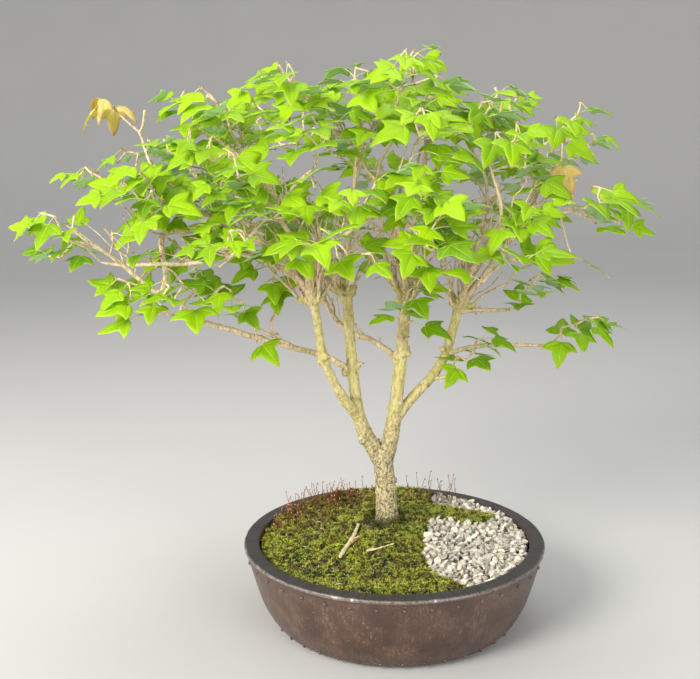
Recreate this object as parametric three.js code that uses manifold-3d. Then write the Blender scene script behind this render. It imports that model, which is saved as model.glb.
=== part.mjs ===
// Trident maple bonsai in a round bowl pot: millimetres, +Z up, -Y is the front.
// The origin is the centre of the pot's flat base, which stands on z = 0.
import * as THREE from "three";
import { mergeVertices } from "three/addons/utils/BufferGeometryUtils.js";
import Module from "manifold-3d";

const wasm = await Module();
wasm.setup();

// ---------- Driving dimensions ----------

const GAP = 0.3; // clearance between pieces that touch
const FINENESS = 0.04; // slivers thinner than this are merged into their neighbours

const POT = {
  sides: 32,
  height: 76.8,
  rimRadius: 140,
  bandHeight: 4.6, // outer edge of the lip
  lipInnerRadius: 126.5,
  bodyRadius: 138.8, // just below the band
  baseRadius: 105.3,
  floor: 9,
  drainRadius: 12,
  drainX: 52,
};
const STUDS = { perRow: 38, radius: 1.75, upperZ: 66.5, lowerZ: 6.5, turn: 3.8 };
const SCREEN = { side: 38, thickness: 1.2 };

// Ground: the soil climbs from front to back and is mounded round the trunk.
const GROUND = {
  frontZ: 66.5,
  backRise: 6.5,
  moundHeight: 14,
  moundReach: 58,
  moundX: -8,
  moundY: 17,
};
const MOSS_THICKNESS = 4.5;
const GRAVEL_THICKNESS = 4.2;
const STONE = { x: 33, y: -14, radius: 5, shape: [1.2, 0.9, 0.8] }; // the largest loose stone
// Twigs lying on the moss, as [x, y, radius].
const FALLEN_TWIGS = {
  long: [[-33, 2, 1.2], [-38, -22, 1.6], [-44, -38, 1.9], [-48, -52, 1.5]],
  short: [[-24, -42, 1.1], [-12, -38, 0.9], [0, -31, 0.7]],
};
const TRUNK = { x: -6, y: 15, rootZ: 58, rootRadius: 15 };

// Crown: an oval dome of leafy shoots.
const CROWN = { x: -35, y: 4, halfWidth: 250, halfDepth: 130 };
const LEAF = { length: 31, halfWidth: 18.5, halfThickness: 0.8, petiole: 15, petioleGrip: 0.5 };
const SHOOT = { length: 42, baseRadius: 1.2, tipRadius: 0.8 };
// A second stem on each shoot in the crown's inner part, from this share of the first stem's length.
const SIDE_STEM = { from: 0.12, length: 0.85, turn: 80, lift: -34, innerShare: 0.66, lowestZ: 325 };
const TWIG = { baseRadius: 1.7, tipRadius: 1.1, sides: 3 };

// Pot walls as [radius, height], from the foot up, outside and then inside down to the floor.
const POT_OUTSIDE = [
  [POT.baseRadius, 0],
  [112, 4],
  [118, 12],
  [124.6, 24],
  [129.4, 38],
  [133.8, 54],
  [POT.bodyRadius, POT.height - POT.bandHeight],
  [POT.rimRadius, POT.height - POT.bandHeight + 0.8],
  [POT.rimRadius, POT.height - 1],
  [POT.rimRadius - 1, POT.height],
];
const POT_INSIDE = [
  [POT.lipInnerRadius, POT.height],
  [POT.lipInnerRadius, 66],
  [124.5, 50],
  [119, 32],
  [110, 18],
  [96, POT.floor],
];

// Wood: every limb is a list of [x, y, z, radius] along its middle.
const LIMBS = {
  trunk: [
    [TRUNK.x, TRUNK.y, TRUNK.rootZ, TRUNK.rootRadius],
    [-6, 15, 80, 14.6],
    [-6, 15, 90, 12.4],
    [-7, 15, 104, 10],
    [-8, 15, 124, 8.9],
    [-10, 15, 146, 9],
    [-11, 15, 158, 8.2],
  ],
  left_main: [
    [-8, 15, 138, 7.6],
    [-22, 12, 165, 7],
    [-29, 8, 180, 6.2],
    [-34, 6, 197, 5.6],
  ],
  right_main: [
    [-10, 15, 140, 8],
    [-4, 16, 164, 7.3],
    [-1, 18, 179, 6.8],
    [1, 20, 192, 6.3],
  ],
  outer_left: [
    [-31, 7, 187, 4.6],
    [-48, -8, 216, 3.8],
    [-58, -16, 238, 3.6],
    [-63, -20, 252, 3.9],
    [-65, -25, 267, 3.3],
    [-69, -38, 305, 3.2],
  ],
  inner_left: [
    [-30, 7, 182, 5.6],
    [-34, 7, 200, 5],
    [-38, 10, 234, 4.7],
    [-41, 14, 271, 4.3],
    [-43, 16, 304, 4.2],
  ],
  inner_right: [
    [0, 19, 186, 6],
    [3, 18, 210, 5.6],
    [6, 14, 238, 5.2],
    [8, 10, 264, 4.9],
    [11, 2, 304, 4.5],
  ],
  outer_right: [
    [-1, 18, 181, 4.8],
    [14, 24, 201, 4.3],
    [36, 32, 224, 4],
    [48, 37, 242, 4],
    [55, 42, 264, 3.8],
    [61, 46, 289, 3.7],
  ],
};

// Each branch leaves its limb as [x, y, z, radius] points, and its last point carries the twigs, each
// given by the [x, y, z] of its tip, where a leafy shoot grows on. They are listed from the low left
// of the crown over its top to the low right.
const BRANCHES = [
  {
    points: [
      [-41, 10, 235, 3], [-65, 6, 249, 2.8], [-115, -12, 267, 2.5], [-171, -32, 288, 2.1],
      [-186, -38, 293, 1.9],
    ],
    twigs: [[-197, -48, 297], [-178, -16, 312], [-170, -72, 302]],
  },
  {
    points: [[-92, -4, 260, 2], [-108, -16, 271, 1.8]],
    twigs: [[-126, -38, 287], [-106, 4, 296]],
  },
  {
    points: [
      [-66, -30, 283, 2.6], [-80, -50, 326, 2.3], [-123, -66, 350, 2], [-165, -62, 343, 1.9],
      [-230, -52, 340, 1.6],
    ],
    twigs: [[-252, -46, 342]],
  },
  {
    points: [
      [-140, -36, 371, 2.3], [-178, -24, 366, 2.3], [-203, -20, 361, 2.5], [-198, -38, 326, 2.3],
      [-206, -46, 317, 2], [-232, -56, 342, 1.7],
    ],
    twigs: [[-262, -62, 364]],
  },
  {
    points: [[-69, -38, 303, 3], [-95, -38, 345, 2.6], [-150, -34, 376, 2.2], [-180, -32, 388, 1.8]],
    twigs: [[-192, -82, 392], [-222, -12, 452], [-232, -28, 396]],
  },
  {
    points: [[-69, -38, 303, 2.9], [-78, -62, 345, 2.4], [-92, -76, 380, 1.8]],
    twigs: [[-116, -116, 366], [-128, -80, 416], [-62, -84, 424]],
  },
  {
    points: [[-43, 16, 302, 3], [-70, 10, 350, 2.6], [-112, 2, 402, 2], [-125, 0, 420, 1.7]],
    twigs: [[-134, -36, 444], [-168, 12, 450], [-98, 22, 464]],
  },
  {
    points: [[-43, 16, 302, 3], [-42, 8, 355, 2.6], [-34, -6, 410, 2.1], [-32, -8, 430, 1.7]],
    twigs: [[-66, -36, 458], [-4, -38, 466], [-36, 22, 474]],
  },
  {
    points: [[-43, 16, 302, 2.8], [-90, 34, 340, 2.4], [-145, 46, 372, 2], [-165, 50, 386, 1.7]],
    twigs: [[-218, 24, 408], [-192, 68, 414], [-128, 70, 438], [-126, 112, 384]],
  },
  {
    points: [
      [6, 14, 242, 3], [-14, 30, 255, 2.7], [-49, 50, 268, 2.5], [-68, 60, 295, 2.3],
      [-88, 70, 330, 1.8],
    ],
    twigs: [[-150, 102, 344], [-78, 114, 358]],
  },
  {
    points: [[11, 2, 302, 3], [8, -34, 342, 2.5], [2, -76, 382, 1.8]],
    twigs: [[-46, -116, 366], [24, -118, 364], [14, -84, 430]],
  },
  {
    points: [[11, 2, 302, 3.2], [20, 8, 370, 2.6], [28, 14, 430, 2], [28, 14, 446, 1.8]],
    twigs: [[14, 16, 478], [62, -34, 450], [84, 22, 450]],
  },
  {
    points: [[11, 2, 302, 2.9], [2, 36, 350, 2.4], [-18, 74, 404, 1.8]],
    twigs: [[-60, 68, 452], [14, 70, 458], [-16, 114, 396]],
  },
  {
    points: [[61, 46, 286, 3], [70, -2, 330, 2.5], [88, -66, 372, 1.8]],
    twigs: [[88, -112, 356], [78, -80, 418], [134, -76, 384]],
  },
  {
    points: [[61, 46, 286, 3.2], [84, 36, 320, 2.6], [112, -4, 370, 2], [118, -10, 386, 1.8]],
    twigs: [[124, -32, 428], [162, -30, 378], [146, 22, 420]],
  },
  {
    points: [[61, 46, 286, 2.9], [76, 60, 335, 2.4], [90, 72, 384, 1.8]],
    twigs: [[70, 68, 440], [122, 68, 404], [84, 112, 372]],
  },
  {
    points: [[60, 45, 283, 2.3], [80, 40, 286, 2.1], [97, 33, 287, 1.8]],
    twigs: [[110, 18, 291]],
  },
  {
    points: [[48, 37, 244, 2.4], [70, 34, 251, 2.1], [93, 28, 255, 1.9], [124, 22, 256, 1.7]],
    twigs: [[144, 16, 257]],
  },
  {
    points: [[35, 32, 222, 1.9], [45, 27, 224, 1.6]],
    twigs: [[53, 21, 228]],
  },
  {
    points: [[8, 10, 260, 1.9], [6, 0, 268, 1.6]],
    twigs: [[6, -14, 280]],
  },
];
const DRIED_TIP = BRANCHES[4].twigs[1]; // the one shoot whose leaves have dried and hang

const COLOURS = {
  pot: 0x5a4843,
  screen: 0x1c1c1c,
  soil: 0x3a2d22,
  moss: 0x6f7a1e,
  gravel: 0xa9a5a0,
  bark: 0xb5a67c,
  leaf: 0x6fbf12,
  dried: 0xd9b070,
  deadwood: 0xb9a274,
};

// ---------- Solids ----------

const tau = Math.PI * 2;
const up = new THREE.Vector3(0, 0, 1);
const radians = THREE.MathUtils.degToRad;
const point = ([x, y, z]) => new THREE.Vector3(x, y, z);

/** The direction that is turned about the vertical axis from +X and raised from the horizontal. */
function towards(turn, rise) {
  const flat = Math.cos(rise);
  return new THREE.Vector3(Math.cos(turn) * flat, Math.sin(turn) * flat, Math.sin(rise));
}

/** Small seeded generator of numbers from -1 to 1, so that every build grows the same tree. */
function seeded(seed) {
  let state = seed;
  return () => {
    state = (state * 48271) % 2147483647;
    return (state / 2147483647) * 2 - 1;
  };
}

/** The closed solid inside a geometry's faces. */
function solid(geometry) {
  const bare = geometry.clone();
  bare.deleteAttribute("normal");
  bare.deleteAttribute("uv");
  const merged = mergeVertices(bare, 1e-4);
  return new wasm.Manifold(
    new wasm.Mesh({
      numProp: 3,
      vertProperties: new Float32Array(merged.attributes.position.array),
      triVerts: new Uint32Array(merged.index.array),
    }),
  );
}

/** The geometry of a solid's surface. */
function geometryOf(manifold) {
  const mesh = manifold.getMesh();
  const geometry = new THREE.BufferGeometry();
  geometry.setAttribute("position", new THREE.BufferAttribute(mesh.vertProperties, 3));
  geometry.setIndex(new THREE.BufferAttribute(mesh.triVerts, 1));
  geometry.computeVertexNormals();
  return geometry;
}

/** A profile of [radius, height] turned about the vertical axis. */
function turned(profile, sides) {
  const geometry = new THREE.LatheGeometry(
    profile.map(([radius, height]) => new THREE.Vector2(radius, height)),
    sides,
  );
  return geometry.rotateX(Math.PI / 2);
}

/** Points [x, y, z, radius] spread evenly along the smooth curve through fewer such points. */
function smoothed(points, steps) {
  const curve = new THREE.CatmullRomCurve3(points.map(point), false, "centripetal");
  return Array.from({ length: steps + 1 }, (_, i) => {
    const along = (i / steps) * (points.length - 1);
    const before = Math.min(Math.floor(along), points.length - 2);
    const radius = THREE.MathUtils.lerp(points[before][3], points[before + 1][3], along - before);
    return [...curve.getPoint(i / steps).toArray(), radius];
  });
}

/**
 * A rod with a ring at each [x, y, z, radius] point, closed at both ends: a cylinder bent ring by ring.
 * Its first ring may be square to another direction than its first stretch. Returns where it ends, too.
 */
function rod(points, sides, startDirection = null) {
  const middle = points.map(point);
  const stretches = middle.slice(1).map((next, i) => next.clone().sub(middle[i]).normalize());
  const last = stretches.length;
  const tangents = middle.map((_, i) => {
    if (i === 0) {
      return (startDirection ?? stretches[0]).clone();
    }
    if (i === last) {
      return stretches[last - 1].clone();
    }
    return stretches[i - 1].clone().add(stretches[i]).normalize();
  });
  const across = new THREE.Vector3(0.31, 0.95, 0.05).cross(tangents[0]).normalize();
  const frames = tangents.map((tangent, i) => {
    if (i > 0) {
      across.applyQuaternion(new THREE.Quaternion().setFromUnitVectors(tangents[i - 1], tangent));
    }
    return [across.clone(), new THREE.Vector3().crossVectors(across, tangent)];
  });
  const geometry = new THREE.CylinderGeometry(1, 1, 1, sides, last);
  const position = geometry.attributes.position;
  for (let i = 0; i < position.count; i++) {
    const ring = Math.round((position.getY(i) + 0.5) * last);
    const radius = points[ring][3];
    const place = middle[ring].clone().addScaledVector(frames[ring][0], position.getX(i) * radius);
    place.addScaledVector(frames[ring][1], position.getZ(i) * radius);
    position.setXYZ(i, place.x, place.y, place.z);
  }
  return { body: solid(geometry), end: middle[last], direction: tangents[last] };
}

/** Height of the soil's surface. */
function ground(x, y) {
  const away = Math.hypot(x - GROUND.moundX, y - GROUND.moundY) / GROUND.moundReach;
  const slope = GROUND.backRise * (0.5 + y / (2 * POT.lipInnerRadius));
  return GROUND.frontZ + slope + GROUND.moundHeight * Math.exp(-away * away);
}

const SOIL_RADIUS = POT.lipInnerRadius - GAP;
const GROUND_RINGS = [1.1, 1, 0.8, 0.6, 0.4, 0.2, 0].map((share) => share * SOIL_RADIUS);

/** A round blanket from `low` to `high` millimetres above the ground, wider than the pot's mouth. */
function blanket(low, high, texture = () => 0) {
  const bottom = GROUND_RINGS.map((radius) => [radius, 0]).reverse();
  const top = GROUND_RINGS.map((radius) => [radius, 1]);
  const geometry = turned([...bottom, ...top], POT.sides / 2);
  const position = geometry.attributes.position;
  for (let i = 0; i < position.count; i++) {
    const [x, y, side] = [position.getX(i), position.getY(i), position.getZ(i)];
    const height = side < 0.5 ? low : high + texture(x, y);
    position.setZ(i, ground(x, y) + height);
  }
  return solid(geometry);
}

/** A tall prism over an outline on the ground, to cut a region out of a blanket. */
function region(outline) {
  const shape = new THREE.Shape(outline.map(([x, y]) => new THREE.Vector2(x, y)));
  return solid(new THREE.ExtrudeGeometry(shape, { depth: 2 * POT.height, bevelEnabled: false }));
}

const parts = new THREE.Group();

function addPart(name, manifold, colour, roughness = 0.8) {
  const material = new THREE.MeshStandardMaterial({ color: colour, roughness, metalness: 0 });
  const mesh = new THREE.Mesh(geometryOf(manifold), material);
  mesh.name = name;
  parts.add(mesh);
}

// ---------- Pot and what lies in it ----------

/** A stud is an eight-sided bead half sunk in the wall, one corner outwards. */
function stud(radius, height, turn) {
  const bead = new THREE.OctahedronGeometry(STUDS.radius);
  bead.translate(radius, 0, height).rotateZ(turn);
  return solid(bead);
}

/** The pot wall's outer radius at a height, on the flat of a facet. */
function wallRadius(height) {
  const above = POT_OUTSIDE.findIndex(([, z]) => z >= height);
  const [low, high] = [POT_OUTSIDE[above - 1], POT_OUTSIDE[above]];
  const radius = THREE.MathUtils.mapLinear(height, low[1], high[1], low[0], high[0]);
  return radius * Math.cos(Math.PI / POT.sides);
}

function pot() {
  let body = solid(turned([[0, 0], ...POT_OUTSIDE, ...POT_INSIDE, [0, POT.floor]], POT.sides));
  for (const side of [-1, 1]) {
    const hole = new THREE.CylinderGeometry(POT.drainRadius, POT.drainRadius, 3 * POT.floor, 16);
    body = body.subtract(solid(hole.rotateX(Math.PI / 2).translate(side * POT.drainX, 0, 0)));
  }
  const studs = [];
  for (let i = 0; i < STUDS.perRow; i++) {
    const turn = ((i + 0.5) * tau) / STUDS.perRow + radians(STUDS.turn);
    studs.push(stud(wallRadius(STUDS.upperZ), STUDS.upperZ, turn));
    studs.push(stud(wallRadius(STUDS.lowerZ), STUDS.lowerZ, turn));
  }
  return body.add(wasm.Manifold.union(studs)).simplify(FINENESS);
}

/** A square screen over a drain hole, larger by a margin all round. */
function screen(side, margin = 0) {
  const width = SCREEN.side + 2 * margin;
  const plate = new THREE.BoxGeometry(width, width, SCREEN.thickness + 2 * margin);
  return solid(plate.translate(side * POT.drainX, 0, POT.floor + GAP + SCREEN.thickness / 2));
}

/** The space that the ground leaves free round the trunk's foot. */
function trunkPocket() {
  const sides = 14;
  const radius = (TRUNK.rootRadius + GAP) / Math.cos(Math.PI / sides);
  const foot = new THREE.CylinderGeometry(radius, radius, POT.height, sides);
  foot.rotateX(Math.PI / 2).translate(TRUNK.x, TRUNK.y, TRUNK.rootZ - GAP + POT.height / 2);
  return solid(foot);
}

/** The room inside the pot, `GAP` clear of its wall and floor, with straight sides above the wall. */
function potRoom() {
  const top = 2 * POT.height;
  const wall = POT_INSIDE.slice(1)
    .reverse()
    .map(([radius, z]) => [radius - GAP, z + GAP]);
  return solid(turned([[0, POT.floor + GAP], ...wall, [SOIL_RADIUS, top], [0, top]], POT.sides / 2));
}

function soil() {
  let body = potRoom().subtract(blanket(0, 2 * POT.height)).subtract(trunkPocket());
  for (const side of [-1, 1]) {
    body = body.subtract(screen(side, GAP));
  }
  return body;
}

// Outlines on the ground, seen from above: the gravel lies on the right, moss on the rest.
const GRAVEL_OUTLINE = [
  [37, 34], [30, -8], [27, -40], [31, -66], [48, -84], [60, -96], [82, -102], [130, -60], [140, 0],
  [128, 30], [104, 53.6], [84, 30], [58, 36],
];
const GRAVEL_STRIP_OUTLINE = [
  [38, 108], [44, 78], [74, 66], [100, 58.6], [130, 32.6], [140, 60], [100, 120],
];
const MOSS_STRIP_OUTLINE = [
  [37.3, 35], [58, 36.6], [84, 30.8], [101, 56], [99, 58], [74, 65.4], [43.6, 77.4], [37, 77.4],
];
const MOSS_CUSHION_OUTLINE = [
  [36.4, 150], [36.4, 34.4], [29.4, -8], [26.4, -40], [30.4, -66.4], [39.4, -100], [29.4, -150],
  [-150, -150], [-150, 150],
];
const MOSS_PATCH_OUTLINE = [
  [31, -67], [48, -84.8], [60, -96.8], [82, -102.8], [96, -150], [30, -150], [40, -100],
];

/** A layer on the ground inside an outline. */
function groundPiece(outline, thickness, texture) {
  const layer = blanket(GAP, thickness, texture).intersect(potRoom());
  return layer.intersect(region(outline)).subtract(trunkPocket());
}

/** Unevenness of loose stones, in millimetres. */
const heaped = (x, y) => 0.8 * Math.sin(0.21 * x) * Math.cos(0.17 * y);

addPart("pot", pot(), COLOURS.pot, 0.6);
addPart("drainage_screen_left", screen(-1), COLOURS.screen, 0.7);
addPart("drainage_screen_right", screen(1), COLOURS.screen, 0.7);
addPart("soil", soil(), COLOURS.soil, 1);

const groundCover = {
  moss_cushion: groundPiece(MOSS_CUSHION_OUTLINE, MOSS_THICKNESS),
  moss_strip: groundPiece(MOSS_STRIP_OUTLINE, MOSS_THICKNESS),
  moss_patch: groundPiece(MOSS_PATCH_OUTLINE, MOSS_THICKNESS),
  gravel_bed: groundPiece(GRAVEL_OUTLINE, GRAVEL_THICKNESS, heaped),
  gravel_strip: groundPiece(GRAVEL_STRIP_OUTLINE, GRAVEL_THICKNESS),
};
for (const [name, body] of Object.entries(groundCover)) {
  addPart(name, body, name.startsWith("moss") ? COLOURS.moss : COLOURS.gravel, 1);
}

/** Lowers a loose piece on to the ground cover until it lies `GAP` above it. */
function settled(body) {
  const cover = wasm.Manifold.union(Object.values(groundCover));
  let resting = body;
  for (let i = 0; i < 12; i++) {
    resting = resting.translate([0, 0, GAP - resting.minGap(cover, POT.height)]);
  }
  return resting;
}

/** A twig lying on the moss: a rod over [x, y, radius] points. */
function fallenTwig(points) {
  const route = points.map(([x, y, radius]) => [x, y, ground(x, y) + 2 * MOSS_THICKNESS, radius]);
  return settled(rod(route, 6).body);
}

function edgeStone() {
  const pebble = new THREE.IcosahedronGeometry(STONE.radius, 0);
  pebble.scale(...STONE.shape).translate(STONE.x, STONE.y, POT.height + 4 * MOSS_THICKNESS);
  return settled(solid(pebble));
}

addPart("fallen_twig_long", fallenTwig(FALLEN_TWIGS.long), COLOURS.deadwood, 0.9);
addPart("fallen_twig_short", fallenTwig(FALLEN_TWIGS.short), COLOURS.deadwood, 0.9);
addPart("edge_stone", edgeStone(), COLOURS.gravel, 0.9);

// ---------- Wood ----------

const wood = [];
const growing = []; // the twig ends that bear shoots

for (const [name, points] of Object.entries(LIMBS)) {
  const thick = name === "trunk";
  wood.push(rod(smoothed(points, points.length + 1), thick ? 12 : 7).body);
}
for (const { points, twigs } of BRANCHES) {
  const branch = rod(points, 4);
  wood.push(branch.body);
  for (const tip of twigs) {
    const start = point(points[points.length - 1]).addScaledVector(branch.direction, -TWIG.baseRadius);
    const span = start.distanceTo(point(tip));
    const bend = start.clone().addScaledVector(branch.direction, 0.25 * span).lerp(point(tip), 0.35);
    const route = [
      [...start.toArray(), TWIG.baseRadius],
      [...bend.toArray(), (TWIG.baseRadius + TWIG.tipRadius) / 2],
      [...tip, TWIG.tipRadius],
    ];
    const twig = rod(route, TWIG.sides);
    wood.push(twig.body);
    growing.push({ ...twig, dried: tip === DRIED_TIP });
  }
}
addPart("trunk_and_branches", wasm.Manifold.union(wood).simplify(FINENESS), COLOURS.bark, 0.85);

// ---------- Leaves ----------

// One half of a three-lobed leaf from its base corner to the tip, as shares of half width and length.
const LEAF_HALF = [
  [0.1, -0.02],
  [0.55, 0.1],
  [1, 0.48],
  [0.44, 0.47],
  [0, 1],
];
const LEAF_SAG = 0.005; // how fast the blade curves down away from its base

/** A thin lens fanned from two middles, above and below, out to an outline. */
function lens(middles, outline) {
  const corners = [...middles, ...outline].flatMap((corner) => corner.toArray());
  const faces = outline.flatMap((_, i) => {
    const [here, next] = [i + 2, ((i + 1) % outline.length) + 2];
    return [0, here, next, 1, next, here];
  });
  const geometry = new THREE.BufferGeometry();
  geometry.setAttribute("position", new THREE.Float32BufferAttribute(corners, 3));
  geometry.setIndex(faces);
  return solid(geometry);
}

/**
 * A leaf fanned from its base, where the veins meet, with its stalk running back to the joint on the
 * shoot. The result holds the blade alone too, to see what it would touch.
 */
function leaf(joint, base, heading, droop, roll, size) {
  const ahead = towards(heading, -droop);
  const side = new THREE.Vector3().crossVectors(ahead, up).normalize().applyAxisAngle(ahead, roll);
  const normal = new THREE.Vector3().crossVectors(side, ahead);
  const onBlade = ([across, along]) => {
    const [x, y] = [across * LEAF.halfWidth * size, along * LEAF.length * size];
    const sag = -LEAF_SAG * (x * x + y * y);
    const place = base.clone().addScaledVector(side, x).addScaledVector(ahead, y);
    return place.addScaledVector(normal, sag);
  };
  const mirrored = LEAF_HALF.slice(0, -1).map(([across, along]) => [-across, along]);
  const edge = [...LEAF_HALF, ...mirrored.reverse()].map(onBlade);
  const stalk = base.clone().sub(joint).normalize();
  const stalkEnd = joint.clone().addScaledVector(stalk, -LEAF.petioleGrip);
  const thickness = new THREE.Vector3().crossVectors(side, stalk).normalize().add(normal);
  thickness.setLength(LEAF.halfThickness);
  const middles = [base.clone().add(thickness), base.clone().sub(thickness)];
  return { blade: lens(middles, edge), whole: lens(middles, [...edge, stalkEnd]) };
}

const CLEARANCE = 0.25; // between leaves of different shoots, and between leaves and wood
const TOLERANCE = 0.01;

const withBox = (body) => {
  const { min, max } = body.boundingBox();
  return { body, box: new THREE.Box3(new THREE.Vector3(...min), new THREE.Vector3(...max)) };
};

/** True if a solid keeps the clearance to all of a list. */
function isClear(body, others) {
  const reach = withBox(body).box.expandByScalar(CLEARANCE);
  const near = others.filter((other) => reach.intersectsBox(other.box));
  return near.every((other) => body.minGap(other.body, CLEARANCE) > CLEARANCE - TOLERANCE);
}

let taken = wood.map(withBox);

// How each further try turns a leaf or a shoot that has no room: yaw and dip in degrees, and size.
const TRIES = [
  [0, 0, 1],
  [14, 8, 1],
  [-14, -8, 1],
  [24, -14, 1],
  [-24, 14, 1],
  [8, 22, 0.9],
  [-8, -22, 0.9],
  [34, 10, 0.85],
  [-34, -10, 0.85],
];

const JOINTS = [0.22, 0.48, 0.74, 1]; // where the leaf pairs sit, as shares of a shoot's length

// The leaf pairs along a shoot: how far they turn to the side in degrees, and their size.
const PAIRS = [
  { joint: 0, side: 96, size: 0.96 },
  { joint: 1, side: 74, size: 1.06 },
  { joint: 2, side: 50, size: 1 },
  { joint: 3, side: 22, size: 0.84 },
];
// Blades that point to the front or back droop more than those that point to the crown's two ends.
const GREEN = { pairs: PAIRS, droop: 24, frontDroop: 26, stalkRise: 26, sway: 1 };
const SIDE = { ...GREEN, pairs: PAIRS.slice(1).filter(({ joint }) => joint !== 2) };
const DRIED = { pairs: PAIRS.slice(2), droop: 72, frontDroop: 0, stalkRise: -20, sway: 0 };

/** A green stem from `start` that turns to its own heading at the first leaf joint, ringed at each joint. */
function greenStem(start, direction, heading, lift, length, around) {
  for (const [yaw, dip] of TRIES) {
    const turn = heading + radians(1.5 * yaw);
    const ahead = towards(turn, lift + radians(dip));
    const bend = start.clone().addScaledVector(direction, JOINTS[0] * length);
    const joints = JOINTS.map((share) => bend.clone().addScaledVector(ahead, (share - JOINTS[0]) * length));
    const route = [start, ...joints].map((place, i) => [
      ...place.toArray(),
      THREE.MathUtils.lerp(SHOOT.baseRadius, SHOOT.tipRadius, i / JOINTS.length),
    ]);
    const body = rod(route, TWIG.sides, direction).body;
    if (isClear(body, around)) {
      joints[joints.length - 1].addScaledVector(ahead, -SHOOT.baseRadius);
      return { body, joints, turn };
    }
  }
  return null;
}

/** A leaf on a joint of a stem, in the first position of all tries that leaves everything else clear. */
function placedLeaf(stem, stems, leaves, habit, pair, way, rim, random, around) {
  const joint = stem.joints[pair.joint];
  const side = radians(pair.side * (1.15 - 0.3 * rim) + 10 * random());
  const frontness = Math.abs(Math.sin(stem.turn + way * side));
  const droop = habit.droop + habit.frontDroop * frontness + habit.sway * 15 * random();
  const roll = radians(14 * random());
  const stalkRise = radians(habit.stalkRise + habit.sway * 14 * random());
  const otherStems = stems.filter((other) => other !== stem).map(({ body }) => withBox(body));
  for (const [yaw, dip, shrink] of TRIES) {
    const turn = stem.turn + way * side + radians(yaw);
    const base = joint.clone().addScaledVector(towards(turn, stalkRise), LEAF.petiole * pair.size);
    const size = pair.size * shrink * (1 + 0.1 * random());
    const grown = leaf(joint, base, turn, radians(droop + dip), roll, size);
    const aroundWhole = [...around, ...otherStems, ...leaves.map(({ blade }) => withBox(blade))];
    const aroundBlade = [withBox(stem.body), ...leaves.map(({ whole }) => withBox(whole))];
    if (isClear(grown.whole, aroundWhole) && isClear(grown.blade, aroundBlade)) {
      return [grown];
    }
  }
  return [];
}

/** The shoot on a twig as far as its first stem, with the habit that its place in the crown gives it. */
function begunShoot(twig, index) {
  const random = seeded(101 + 37 * index);
  const [dx, dy] = [twig.end.x - CROWN.x, twig.end.y - CROWN.y];
  const rim = Math.min(1, Math.hypot(dx / CROWN.halfWidth, dy / CROWN.halfDepth));
  const heading = Math.atan2(dy, dx) + 0.25 * random();
  const lift = radians(70 * (1 - rim * rim) + 6 * random());
  const length = SHOOT.length * (1 + 0.12 * random());
  const start = twig.end.clone().addScaledVector(twig.direction, GAP);
  const stem = greenStem(start, twig.direction, heading, lift, length, taken);
  taken.push(withBox(stem.body));
  const inner = Math.abs(dx) < SIDE_STEM.innerShare * CROWN.halfWidth && twig.end.z > SIDE_STEM.lowestZ;
  return { twig, index, random, rim, heading, lift, length, start, stem, inner };
}

/** A second stem for a shoot, which starts inside its first stem, on alternate sides of it. */
function sideStem({ twig, index, start, heading, lift, length }, around) {
  const turn = heading + (index % 2 ? 1 : -1) * radians(SIDE_STEM.turn);
  const rise = lift + radians(SIDE_STEM.lift);
  const from = start.clone().addScaledVector(twig.direction, SIDE_STEM.from * length);
  return greenStem(from, towards(turn, rise), turn, rise, SIDE_STEM.length * length, around);
}

/** Adds the second stem and the leaves to a shoot. */
function finishedShoot(shoot) {
  const around = taken.filter(({ body }) => body !== shoot.stem.body);
  const second = shoot.inner ? sideStem(shoot, around) : null;
  const stems = second ? [shoot.stem, second] : [shoot.stem];
  const leaves = [];
  stems.forEach((stem, i) => {
    const habit = shoot.twig.dried ? DRIED : [GREEN, SIDE][i];
    for (const pair of habit.pairs) {
      for (const way of [-1, 1]) {
        leaves.push(...placedLeaf(stem, stems, leaves, habit, pair, way, shoot.rim, shoot.random, around));
      }
    }
  });
  const pieces = [...stems.map(({ body }) => body), ...leaves.map(({ whole }) => whole)];
  const body = wasm.Manifold.union(pieces);
  taken = [...around, withBox(body)];
  return body;
}

const begun = growing.map(begunShoot);
for (const shoot of begun) {
  const name = "leafy_shoot_" + String(shoot.index + 1).padStart(2, "0");
  addPart(name, finishedShoot(shoot), shoot.twig.dried ? COLOURS.dried : COLOURS.leaf, 0.55);
}

export default parts;
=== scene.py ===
"""A trident maple bonsai in a round bowl pot: metres, +Z up, -Y is the front."""

import math
import random

import bmesh
import bpy
import numpy as np
from mathutils import Matrix, Vector, noise


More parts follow.
